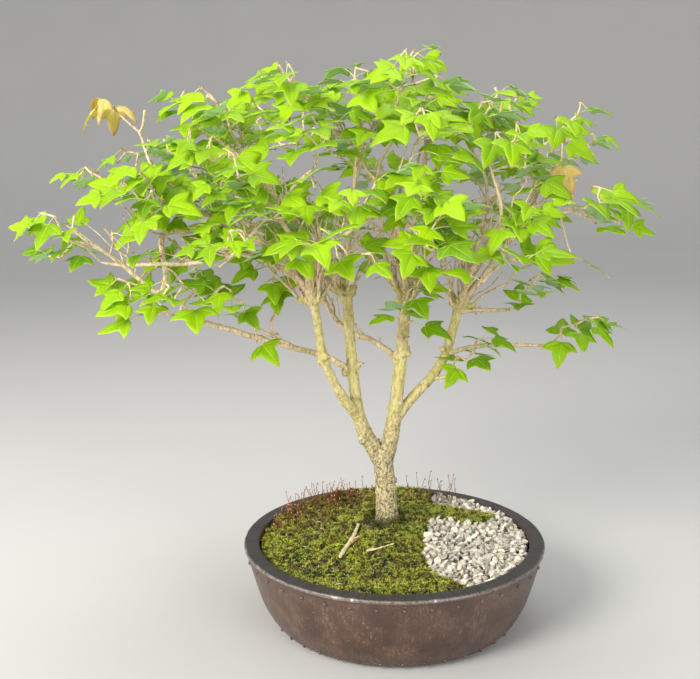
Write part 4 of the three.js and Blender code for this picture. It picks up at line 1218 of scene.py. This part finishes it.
def ringed(route, chance, spacing, swell, width):
    """Radii along a route, in millimetres, with the rings that old leaf joints leave."""
    radii = route[:, 3].copy()
    along = np.concatenate([[0], np.cumsum(np.linalg.norm(np.diff(route[:, :3], axis=0), axis=1))])
    at = chance.uniform(0.3, 1) * spacing
    while at < along[-1] - 2:
        radii = radii + swell * np.exp(-(((along - at) / width) ** 2))
        at += spacing * chance.uniform(0.6, 1.5)
    return radii


def ringed_rod(route, sides, chance, spacing, swell, width):
    """A rod with such rings along [x, y, z, radius] points in millimetres."""
    return tube(route[:, :3] * MM, ringed(route, chance, spacing, swell, width) * MM, sides)


def twig_route(branch, tip):
    """[x, y, z, radius] points of a twig from its branch's end to its tip."""
    points = np.array(branch["points"], float)
    direction = unit(points[-1, :3] - points[-2, :3])
    start = points[-1, :3] - 1.7 * direction
    tip = np.array(tip, float)
    span = np.linalg.norm(tip - start)
    bend = start + 0.25 * span * direction
    bend = bend + 0.35 * (tip - bend)
    return smooth_route([[*start, 1.7], [*bend, 1.4], [*tip, 1.1]], 2.2)


def nearest_wood(place):
    """The nearest place in the middle of a branch or twig, in metres."""
    routes = [smooth_route(branch["points"], 4) for branch in BRANCHES]
    routes += [twig_route(branch, tip) for branch in BRANCHES for tip in branch["twigs"]]
    wood = np.concatenate([route[:, :3] for route in routes]) * MM
    return wood[np.argmin(np.linalg.norm(wood - place, axis=1))]


def snags():
    """The thick stubs that pruning left on the crown's knuckles, as the [x, y, z] of both their ends."""
    chance = random.Random(67)
    made = []
    for place, lean in CROWN_KNUCKLES:
        for _ in range(SNAGS_EACH):
            aim = np.array([*(0.9 * np.array(lean) + gusts(chance, 0.6, 0.6)), chance.uniform(0.2, 1.1)])
            made.append((np.array(place), np.array(place) + unit(aim) * chance.uniform(8, 19)))
    return made


def limb_shape(chance):
    """The trunk and the thick limbs grown together, with knuckles and flaky relief."""
    heap = Heap()
    for name, points in LIMBS.items():
        route = smooth_route(points, 1.6)
        spacing, width = (34, 2.6) if name == "trunk" else (30, 1.5)
        heap.add(ringed_rod(route, 24, chance, spacing, 0.5, width))
    for x, y, z, radius in KNUCKLES:
        for _ in range(3):
            offset = gusts(chance, 0.3, 0.3, 0.35) * radius
            size = radius * np.array([chance.uniform(0.5, 0.8) for _ in range(3)])
            heap.add(ball((np.array([x, y, z]) + offset) * MM, size * MM, 10, 7))
    for start, end in snags():
        route = [[*start, 3.2], [*((start + end) / 2 + [0, 0, -0.8]), 2.4], [*end, 1.8]]
        heap.add(ringed_rod(smooth_route(route, 1.5), 12, chance, 6, 0.5, 1.0))
        heap.add(ball(end * MM, np.array([2.5, 2.3, 2.0]) * MM, 10, 7))
    for angle in ROOTS["turns"]:
        out = np.array([math.cos(angle), math.sin(angle), 0])
        middle = np.array([*LIMBS["trunk"][0][:2], 0])
        steps = ((7, 94), (ROOTS["reach"], 82), (16, 74))
        route = np.array([middle + away * out + height * UP for away, height in steps])
        heap.add(tube(route * MM, np.array([2.6, 2.8, 2.2]) * MM, 10))
    shape = np.concatenate(heap.points), np.concatenate(heap.faces)
    points, faces = remeshed(shape, 0.9 * MM, 4)
    points = points + 0.5 * MM * normals_of(points, faces)
    return roughened((points, faces), [(0.34 * MM, 9 * MM), (0.36 * MM, 2.4 * MM), (0.28 * MM, 1.2 * MM)])


def stub(heap, place, direction, length, radius, chance):
    """A short dead spur, often with a reddish bud at its end."""
    route = [place - direction * radius, place + direction * length * 0.5 + [0, 0, 0.4],
             place + direction * length]
    route = smooth_route([[*p, radius * (1 - 0.25 * i)] for i, p in enumerate(route)], 1.0)
    heap.add(ringed_rod(route, 6, chance, 3, 0.15, 0.5), 1)
    if chance.random() < 0.5:
        return
    bud = [(route[-1, :3] + direction * away) * MM for away in (0.0, 1.0, 2.2)]
    heap.add(tube(bud, np.array([0.75, 0.85, 0.15]) * radius * MM, 6), 2)


def make_wood():
    chance = random.Random(61)
    heap = Heap()
    heap.add(limb_shape(chance), 0)
    for branch in BRANCHES:
        route = smooth_route(branch["points"], 1.3)
        wobble = [[noise.noise(Vector(p[:3]) / 16 + Vector((k, 0, 0))) for k in (0, 9, 18)] for p in route]
        fade = np.sin(np.linspace(0, math.pi, len(route)))[:, None]
        route[:, :3] += 1.6 * np.array(wobble) * fade
        heap.add(roughened(ringed_rod(route, 9, chance, 13, 0.42, 0.9), [(0.16 * MM, 1.6 * MM)]), 1)
        for tip in branch["twigs"]:
            heap.add(ringed_rod(twig_route(branch, tip), 7, chance, 9, 0.3, 0.8), 1)
        for _ in range(3):
            k = chance.randrange(4, len(route) - 2)
            ahead = unit(route[k + 1, :3] - route[k, :3])
            out = unit(np.cross(ahead, gusts(chance, 1, 1, 1)))
            place = route[k, :3] + out * route[k, 3] * 0.6
            stub(heap, place, unit(out + 0.5 * ahead), chance.uniform(2.5, 7), 0.9, chance)
    for x, y, z, radius in KNUCKLES:
        for _ in range(0 if z < 200 else 2):
            turn = chance.uniform(0, TAU)
            out = unit(np.array([math.cos(turn), math.sin(turn), chance.uniform(-0.2, 0.8)]))
            stub(heap, np.array([x, y, z]) + 0.7 * radius * out, out, chance.uniform(2.5, 6), 1.4, chance)
    heap.marks = {"tone": [np.full(heap.count, 0.5)]}
    place_piece(heap.make("trunk_and_limbs", [BARK, TWIG_BARK, BUD]), "bark", "trunk_and_branches")


def bare_twig(start, direction, length, radius, chance):
    """A thin, kinked leafless twig as [x, y, z, radius] points in millimetres."""
    place, route = np.array(start, float), []
    steps = max(3, round(length / 9))
    for i in range(steps + 1):
        route.append([*place, radius * (1 - 0.5 * i / steps)])
        direction = unit(direction + 0.2 * gusts(chance, 1, 1, 0.7))
        place = place + direction * length / steps
    return smooth_route(route, 3.2)


def make_bare_twigs():
    """The brush of fine leafless twigs inside the crown and above it."""
    chance = random.Random(71)
    heap = Heap()
    for start, end in snags():
        for _ in range(chance.choice((1, 2, 3, 3))):
            ahead = unit(end - start)
            direction = unit(0.8 * ahead + wander(chance, 0.35, 0.75))
            length, radius = chance.uniform(24, 110), chance.uniform(0.75, 1.35)
            route = bare_twig(end - ahead, direction, length, radius, chance)
            heap.add(ringed_rod(route, 5, chance, 10, 0.25, 1.2), 0, tone=chance.random())
    end = np.array(PALE_STUB)
    start = nearest_wood(end * MM) / MM
    middle = (start + end) / 2 - [0, 0, 5]
    route = smooth_route([[*start, 0.9], [*middle, 0.95], [*end, 1.35]], 2)
    heap.add(ringed_rod(route, 8, chance, 7, 0.2, 0.9), 0, tone=0.9)
    for branch in BRUSHY_BRANCHES:
        route = smooth_route(branch["points"], 3)
        for _ in range(TWIGS_EACH):
            k = chance.randrange(len(route) // 4, len(route))
            ahead = unit(route[k, :3] - route[k - 1, :3])
            direction = unit(0.8 * ahead + wander(chance, 0.5, 0.55))
            length, radius = chance.uniform(20, 66), chance.uniform(0.65, 1.1)
            twig = bare_twig(route[k, :3], direction, length, radius, chance)
            heap.add(ringed_rod(twig, 5, chance, 8, 0.22, 1.2), 0, tone=chance.random())
            end = twig[-1, :3] * MM
            bud = [end, end + unit(twig[-1, :3] - twig[-2, :3]) * 2 * MM]
            heap.add(tube(bud, np.array([0.7, 0.15]) * MM, 5), 1, tone=chance.random())
    place_piece(heap.make("bare_twigs", [TWIG_BARK, BUD]), "bark")


# ---------- Leaves ----------


class Leaf:
    """Where a leaf sits: its stalk's joint, its base, and its directions to the side and ahead."""

    def __init__(self, joint, base, ahead, side, size):
        self.joint, self.base, self.size = joint, base, size
        self.ahead = unit(ahead)
        self.side = unit(side - self.ahead * (side @ self.ahead))
        self.normal = np.cross(self.side, self.ahead)
        if self.normal[2] < 0 and abs(self.ahead[2]) < 0.97:
            self.side, self.normal = -self.side, -self.normal
        self.centre = base + self.ahead * LEAF["middle"] * MM * size


def leaf_outline():
    """A whole leaf's outline, from the left of its stalk round the tip to the right, in millimetres."""
    half = np.array(LEAF_HALF) * [LEAF["half_width"], LEAF["length"]]
    return np.concatenate([half[:-1] * [-1, 1], half[::-1]])


OUTLINE = leaf_outline()


def blade_grid():
    """A blade's points as across and along, in millimetres, and the share of the way out to its edge."""
    rows = [np.column_stack([OUTLINE * t, np.full(len(OUTLINE), t)]) for t in LEAF_RINGS]
    return np.concatenate([[[0, 0, 0]], *rows])


BLADE = blade_grid()


def blade_faces():
    """The triangles of a thin closed blade, and which of its two faces each is on."""
    columns, count = len(OUTLINE), len(BLADE)
    first = np.stack([np.zeros(columns - 1, int), np.arange(1, columns), np.arange(2, columns + 1)], -1)
    rest = grid_faces(len(LEAF_RINGS), columns, closed=False)[:, ::-1] + 1
    top = np.concatenate([first[:, ::-1], rest[:, ::-1]])
    below = top[:, ::-1] + count
    last = np.arange(count - columns, count)
    left = 1 + np.arange(len(LEAF_RINGS)) * columns
    right = left + columns - 1
    loop = np.concatenate([[0], left[:-1], last, right[:-1][::-1]])
    after = np.roll(loop, -1)
    rim = np.concatenate([np.stack([loop, after, after + count], -1),
                          np.stack([loop, after + count, loop + count], -1)])
    a, b, c = BLADE[top[0], :2]
    if np.cross(b - a, c - a) < 0:
        top, below, rim = top[:, ::-1], below[:, ::-1], rim[:, ::-1]
    sides = np.concatenate([np.zeros(len(top), int), np.ones(len(below) + len(rim), int)])
    return np.concatenate([top, below, rim]), sides


BLADE_FACES, BLADE_SIDES = blade_faces()


def blade_lift(chance, curl):
    """How far each point of a blade rises from the flat, in millimetres."""
    across, along, out = BLADE.T
    length = LEAF["length"]
    turn = np.arctan2(along, np.abs(across) + 1e-6)
    vein = math.pi / 2 - LOBE_TURN
    between = np.where(turn > vein, (turn - vein) / LOBE_TURN, (vein - turn) / (vein + 0.4))
    quilt = np.sin(math.pi * np.clip(between, 0, 1)) * np.sin(math.pi * np.clip(out, 0, 1))
    quilt = quilt * chance.uniform(0.5, 1.2)
    arch = chance.uniform(0.0, 0.008) * along * (length - along)
    wings = -chance.uniform(0.0, 0.005) * across**2 + chance.uniform(-0.06, 0.2) * np.abs(across)
    tips = -curl * chance.uniform(-0.5, 3.2) * np.clip(along / length - 0.55, 0, 1) ** 2 * 4
    left, right = (np.clip(way * across / LEAF["half_width"] - 0.5, 0, 1) ** 2 * 4 for way in (-1, 1))
    lobes = -curl * (left * chance.uniform(-1.4, 2.4) + right * chance.uniform(-1.4, 2.4))
    wave = out**2 * 0.7 * np.sin(turn * chance.uniform(3, 6) * np.sign(across) + chance.uniform(0, TAU))
    twist = chance.gauss(0, 0.05) * across * along / length
    return quilt + arch + wings + tips + lobes + wave + twist


def add_leaf(heap, leaf, chance, tone, dried=False):
    """Adds a leaf's blade and stalk to a heap whose materials are the blade's two faces and the stalk."""
    lift = blade_lift(chance, 2.2 if dried else 1.0)
    across, along, out = BLADE.T
    reach, sweep = np.where(across < 0, [[chance.gauss(1, 0.09)], [chance.gauss(0, 0.1)]],
                            [[chance.gauss(1, 0.09)], [chance.gauss(0, 0.1)]])
    swept = along + sweep * across**2 / LEAF["half_width"]
    flat = np.outer(across * reach, leaf.side) + np.outer(swept, leaf.ahead)
    scale = leaf.size * MM
    half = 0.5 * LEAF["thickness"] * MM * (1 - 0.4 * out)[:, None] * leaf.normal
    middle = leaf.base + scale * (flat + np.outer(lift, leaf.normal))
    if dried:
        roll = np.abs(across[:, None]) ** 1.5 * 0.055 * MM
        middle = middle - leaf.side * np.sign(across)[:, None] * roll - leaf.normal * roll * 0.8
    points = np.concatenate([middle + half, middle - half])
    place = np.column_stack([across, along, out])
    marks = {"leaf_place": np.concatenate([place, place]), "tone": tone}
    heap.add((points, BLADE_FACES), DRIED_FINISH if dried else BLADE_SIDES, **marks)
    span = leaf.base - leaf.joint
    bow = 0.12 * np.linalg.norm(span) * unit(UP + 0.3 * leaf.side * chance.gauss(0, 1))
    steps = np.linspace(0, 1, 6)[:, None]
    route = leaf.joint + span * steps + bow * np.sin(math.pi * steps) * 0.6
    route[-1] += leaf.ahead * 0.5 * MM
    stalk = tube(route, np.array([0.85, 0.6, 0.5, 0.46, 0.46, 0.42]) * leaf.size * MM, 5)
    marks = {"leaf_place": np.zeros((len(stalk[0]), 3)), "tone": tone}
    heap.add(stalk, 2, **marks)


def blade_frame(base, heading, chance):
    """The midrib and side directions of a blade that faces up, outwards and a little to the front."""
    away = (base / MM - [CROWN["x"], CROWN["y"], 0]) * [1, 1, 0] / CROWN["half_width"]
    stray = wander(chance, FACING["scatter"], 0)
    lean = FACING["front"] * chance.uniform(-0.6, 1.8)
    facing = unit(UP + FACING["outwards"] * away + lean * FRONT + stray)
    flat = heading - facing * (heading @ facing)
    ahead = unit(unit(flat) - FACING["sink"] * UP)
    return ahead, np.cross(ahead, facing)


def neighbours_of(points, triangles):
    around = [set() for _ in points]
    for a, b, c in triangles:
        around[a] |= {b, c}
        around[b] |= {a, c}
        around[c] |= {a, b}
    return around


def cad_leaves(node, chance):
    """The leaves of a shoot, read from its CAD solid.

    Each blade there is a thin lens: two middles, LENS apart, joined to every corner of its outline.
    """
    lens, lens_slack, least_corners, least_shared = 1.6 * MM, 0.25 * MM, 9, 6
    points, triangles = cad_shape(node)
    around = neighbours_of(points, triangles)
    middles = [i for i, near in enumerate(around) if len(near) >= least_corners]
    leaves, used = [], set()
    for i in middles:
        for j in middles:
            apart = np.linalg.norm(points[i] - points[j])
            if j <= i or used & {i, j} or abs(apart - lens) > lens_slack:
                continue
            if len(around[i] & around[j]) < least_shared:
                continue
            used |= {i, j}
            corners = (around[i] | around[j]) - {i, j}
            leaves.append(leaf_from_lens(points[sorted(corners)], (points[i] + points[j]) / 2, chance))
    return leaves


def leaf_from_lens(corners, base, chance):
    """A leaf from its lens's corners: the tip is the farthest, and its stalk leaves behind the base."""
    spokes = corners - base
    tip = spokes[np.argmax(np.linalg.norm(spokes, axis=1))]
    behind = spokes[spokes @ unit(tip) < -4 * MM]
    joint = behind.mean(0) if len(behind) else -unit(tip) * 13 * MM - UP * 4 * MM
    size = LEAF["share"] * chance.uniform(0.86, 1.1) * np.linalg.norm(tip) / (LEAF["length"] * MM)
    return Leaf(base + joint, base, *blade_frame(base, unit(tip * [1, 1, 0]), chance), size)


def stem_links(start, joints):
    """The stems of a shoot as links between places: each joint grows from the nearest place so far."""
    merged = []
    for joint in joints:
        near = [m for m in merged if np.linalg.norm(m[0] / m[1] - joint) < 4.5 * MM]
        if near:
            near[0][0] += joint
            near[0][1] += 1
        else:
            merged.append([joint.copy(), 1])
    waiting = [total / count for total, count in merged]
    grown, links = [start], []
    while waiting:
        pairs = [(np.linalg.norm(a - b), i, j) for i, a in enumerate(grown) for j, b in enumerate(waiting)]
        _, i, j = min(pairs)
        links.append((grown[i], waiting[j]))
        grown.append(waiting.pop(j))
    return links


def add_stems(heap, links, chance, radius=1.05):
    ends = [tuple(a) for a, _ in links]
    for a, b in links:
        bow = np.linalg.norm(b - a) * 0.04 * wander(chance, 1, 0.5)
        steps = np.linspace(0, 1, 6)[:, None]
        route = a + (b - a) * steps + bow * np.sin(math.pi * steps)
        radii = np.array([1.12, 0.92, 0.86, 0.84, 0.92, 1.2]) * radius * MM
        blank = {"leaf_place": np.zeros((6 * 6 + 2, 3)), "tone": 0.5}
        heap.add(tube(route, radii, 6), 3, **blank)
        if tuple(b) not in ends:
            ahead = unit(b - a)
            bud = tube([b, b + ahead * 1.4 * MM, b + ahead * 3.2 * MM], np.array([0.8, 0.9, 0.12]) * MM, 6)
            heap.add(bud, 4, leaf_place=np.zeros((len(bud[0]), 3)), tone=chance.random())


LEAF_MATERIALS = [LEAF_TOP, LEAF_BELOW, STALK, TWIG_BARK, BUD, DRY_TOP]
DRIED_FINISH = LEAF_MATERIALS.index(DRY_TOP)


def leaf_tone_and_light(leaf, chance):
    """Leaves high in the crown are brighter than those low down: painted light from above and painted shade
    below, over a random tone for each leaf.
    """
    height = np.clip((leaf.base[2] / MM - 270) / 200, 0, 1)
    return float(np.clip(0.34 + 0.36 * height + 0.22 * chance.gauss(0, 1), 0, 1))


def hung(leaf, chance, turn):
    """A dried leaf beside another, hanging from the same joint."""
    way = math.atan2(leaf.ahead[1], leaf.ahead[0]) + turn
    base = leaf.joint + towards(way, chance.uniform(0, 0.6)) * np.linalg.norm(leaf.base - leaf.joint) * 0.8
    side = towards(way + math.pi / 2, chance.gauss(0, 0.3))
    ahead = towards(way, -chance.uniform(0.7, 1.3))
    return Leaf(leaf.joint, base, ahead, side, leaf.size * chance.uniform(0.85, 1.1))


def fitted(leaf):
    """The same leaf, made smaller where its tip would leave the CAD's box."""
    low, high = cad_box
    while leaf.size > 0.3:
        tip = leaf.base + leaf.ahead * LEAF["length"] * MM * leaf.size
        if all(low[k] + 3 * MM < tip[k] < high[k] - 3 * MM for k in range(3)):
            break
        leaf = Leaf(leaf.joint, leaf.base, leaf.ahead, leaf.side, leaf.size * 0.93)
    return leaf


def make_shoots():
    """The leafy shoots, each in the place of its CAD solid. Returns all their leaves."""
    tips = [tip for branch in BRANCHES for tip in branch["twigs"]]
    shoots = []
    for index, tip in enumerate(tips, 1):
        chance = random.Random(1000 + index)
        leaves = cad_leaves(f"leafy_shoot_{index:02d}", chance)
        for leaf in leaves:
            leaf.size *= SMALL_LEAVED.get(index, 1)
        shoots.append((index, tip, chance, [fitted(leaf) for leaf in leaves]))
    for index, tip, chance, leaves in shoots:
        heap = Heap()
        dried = index == DRIED_SHOOT
        add_stems(heap, stem_links(np.array(tip) * MM, [leaf.joint for leaf in leaves]), chance)
        for leaf in leaves:
            if dried:
                for turn in (0, 2.3):
                    add_leaf(heap, hung(leaf, chance, turn), chance, chance.random(), True)
            else:
                add_leaf(heap, leaf, chance, leaf_tone_and_light(leaf, chance))
        piece = heap.make(f"shoot_{index:02d}_leaves", LEAF_MATERIALS)
        place_piece(piece, "dried_leaf" if dried else "leaf", f"leafy_shoot_{index:02d}")
    return [leaf for shoot in shoots for leaf in shoot[3]]


def wood_places():
    """Places along branches and twigs, in millimetres. A twig runs straight from a point of its branch."""
    shares = np.linspace(0, 1, FRINGE["samples"])[:, None]
    places = []
    for branch in BRANCHES:
        points = np.array(branch["points"])[:, :3]
        stretches = list(zip(points, points[1:]))
        for tip in branch["twigs"]:
            near = points[np.argmin(np.linalg.norm(points - tip, axis=1))]
            stretches.append((near, np.array(tip)))
        places += [start + (end - start) * shares for start, end in stretches]
    return np.concatenate(places)


def fringe_place(pixel):
    """Where a leaf seen at a pixel sits, in whole millimetres: off the wood and rather to the front."""
    wood = wood_places()

    def cost(depth):
        gap = np.linalg.norm(wood - seen_at(pixel, depth), axis=1).min()
        return abs(gap - FRINGE["gap"]) + FRINGE["price"] * (depth - FRINGE["depths"][0])

    return np.round(seen_at(pixel, min(FRINGE["depths"], key=cost)))


def make_fringe():
    """The single leaves on the fringe, each on its own thin stem, and the lone dried one."""
    chance = random.Random(97)
    heap = Heap()
    leaves = []
    for pixel in FRINGE_PIXELS:
        base = fringe_place(pixel) * MM
        start = nearest_wood(base)
        away = unit((base - start) * [1, 1, 0])
        joint = base - away * chance.uniform(10, 14) * MM + UP * chance.uniform(1, 4) * MM
        leaf = fitted(Leaf(joint, base, *blade_frame(base, away, chance), chance.uniform(0.78, 0.98)))
        add_stems(heap, [(start, joint)], chance, 0.8)
        add_leaf(heap, leaf, chance, leaf_tone_and_light(leaf, chance))
        leaves.append(leaf)
    joint = fringe_place(DRIED_PIXEL) * MM
    base = joint + np.array([4, -7, 3]) * MM
    add_stems(heap, [(nearest_wood(joint), joint)], chance, 0.8)
    down = unit(np.array([0.25, -0.5, -1]))
    add_leaf(heap, Leaf(joint, base, down, np.array([1, 0.3, 0.2]), 0.95), chance, 0.25, True)
    place_piece(heap.make("fringe_leaves", LEAF_MATERIALS), "leaf")
    return leaves


def grown_spray(start, chance):
    """A short side spray: a stem with two or three pairs of leaves."""
    x, y = start[0] / MM - CROWN["x"], start[1] / MM - CROWN["y"]
    heading = math.atan2(y, x) + chance.gauss(0, 0.8)
    rise = math.radians(chance.uniform(5, 65))
    length = chance.uniform(26, 46) * MM
    ahead = towards(heading, rise)
    links, leaves, place = [], [], start
    for share in (0.4, 0.7, 1.0)[: chance.choice((2, 3, 3))]:
        joint = start + ahead * length * share
        links.append((place, joint))
        place = joint
        for way in (-1, 1):
            turn = heading + way * math.radians(88 - 52 * share + chance.gauss(0, 10))
            size = chance.uniform(0.66, 0.92) * (1.04 - 0.14 * share)
            stalk = towards(turn, math.radians(26 + chance.gauss(0, 9)))
            base = joint + stalk * chance.uniform(12, 16) * MM
            leaves.append(Leaf(joint, base, *blade_frame(base, towards(turn, 0), chance), size))
    return links, leaves


def make_sprays(leaves):
    """Small sprays that fill the crown out between the shoots, on the same branches."""
    chance = random.Random(83)
    low, high = cad_box
    edge = 8 * MM
    centres = np.array([leaf.centre for leaf in leaves])
    sources = []
    for index, branch in enumerate(BRANCHES):
        routes = [smooth_route(branch["points"], 4)] + [twig_route(branch, tip) for tip in branch["twigs"]]
        sources += [(index, p[:3] * MM) for route in routes for p in route if p[2] > SPRAYS["lowest"]]
    heaps, made = {}, 0
    for _ in range(SPRAYS["tries"]):
        index, start = chance.choice(sources)
        links, new = grown_spray(start, chance)
        free = []
        for leaf in new:
            tip = leaf.base + leaf.ahead * LEAF["length"] * MM * leaf.size
            held = all(low[k] + edge < tip[k] < high[k] - edge for k in range(3))
            held = held and inside(leaf.centre[0] / MM, leaf.centre[2] / MM, CROWN_FRONT)
            gap = np.linalg.norm(centres - leaf.centre, axis=1).min()
            if held and gap > SPRAYS["leaf_gap"] * MM:
                free.append(leaf)
        if len(free) < 3 or made >= SPRAYS["wanted"]:
            continue
        made += 1
        heap = heaps.setdefault(index, Heap())
        used = [leaf.joint for leaf in free]
        links = links[:1] + [link for link in links[1:] if any(np.allclose(link[1], j) for j in used)]
        add_stems(heap, links, chance, 0.8)
        for leaf in free:
            add_leaf(heap, leaf, chance, leaf_tone_and_light(leaf, chance))
        centres = np.concatenate([centres, [leaf.centre for leaf in free]])
    for index, heap in sorted(heaps.items()):
        place_piece(heap.make(f"side_sprays_{index + 1:02d}", LEAF_MATERIALS), "leaf")


# ---------- Studio ----------


def make_floor():
    """A plain pale floor that curves up into a wall far away all round."""
    points = np.concatenate([[[0, 0, 0]], *turned_rings(FLOOR_PROFILE, FLOOR_TURNS)])
    faces = np.concatenate([fan(0, np.arange(1, FLOOR_TURNS + 1), outward=True),
                            grid_faces(len(FLOOR_PROFILE), FLOOR_TURNS, closed=True)[:, ::-1] + 1])
    mesh_object("studio_floor", points, faces, [floor_material()])


def add_light(name, place, target, size, energy, colour):
    lamp = bpy.data.lights.new(name, "AREA")
    lamp.shape, lamp.size, lamp.energy, lamp.color = "DISK", size, energy, colour
    holder = bpy.data.objects.new(name, lamp)
    holder.location = place
    holder.rotation_euler = (Vector(target) - Vector(place)).to_track_quat("-Z", "Y").to_euler()
    bpy.context.scene.collection.objects.link(holder)


def make_studio():
    scene = bpy.context.scene
    make_floor()
    for name, lamp in LAMPS.items():
        add_light(name, *lamp)
    world = bpy.data.worlds.new("studio_world")
    world.use_nodes = True
    background = world.node_tree.nodes["Background"]
    background.inputs["Color"].default_value = rgb(236, 240, 246)
    background.inputs["Strength"].default_value = SKY_STRENGTH
    scene.world = world
    scene.view_settings.view_transform = "Standard"


def make_camera():
    right, top, ahead = camera_axes()
    lens = bpy.data.cameras.new("camera")
    lens.sensor_width, lens.lens = SENSOR, CAMERA["lens"]
    holder = bpy.data.objects.new("camera", lens)
    turn = Matrix((right, top, -ahead)).transposed().to_4x4()
    holder.matrix_world = Matrix.Translation(CAMERA["place"]) @ turn
    bpy.context.scene.collection.objects.link(holder)
    bpy.context.scene.camera = holder


make_camera()
make_studio()
make_pot()
for screen in ("drainage_screen_left", "drainage_screen_right"):
    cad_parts[screen].data.materials.clear()
    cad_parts[screen].data.materials.append(SCREEN_MESH)
make_soil()
make_moss()
make_dark_tufts()
make_sporophytes()
make_gravel()
make_fallen_twigs()
make_litter()
make_wood()
make_bare_twigs()
make_sprays(make_shoots() + make_fringe())
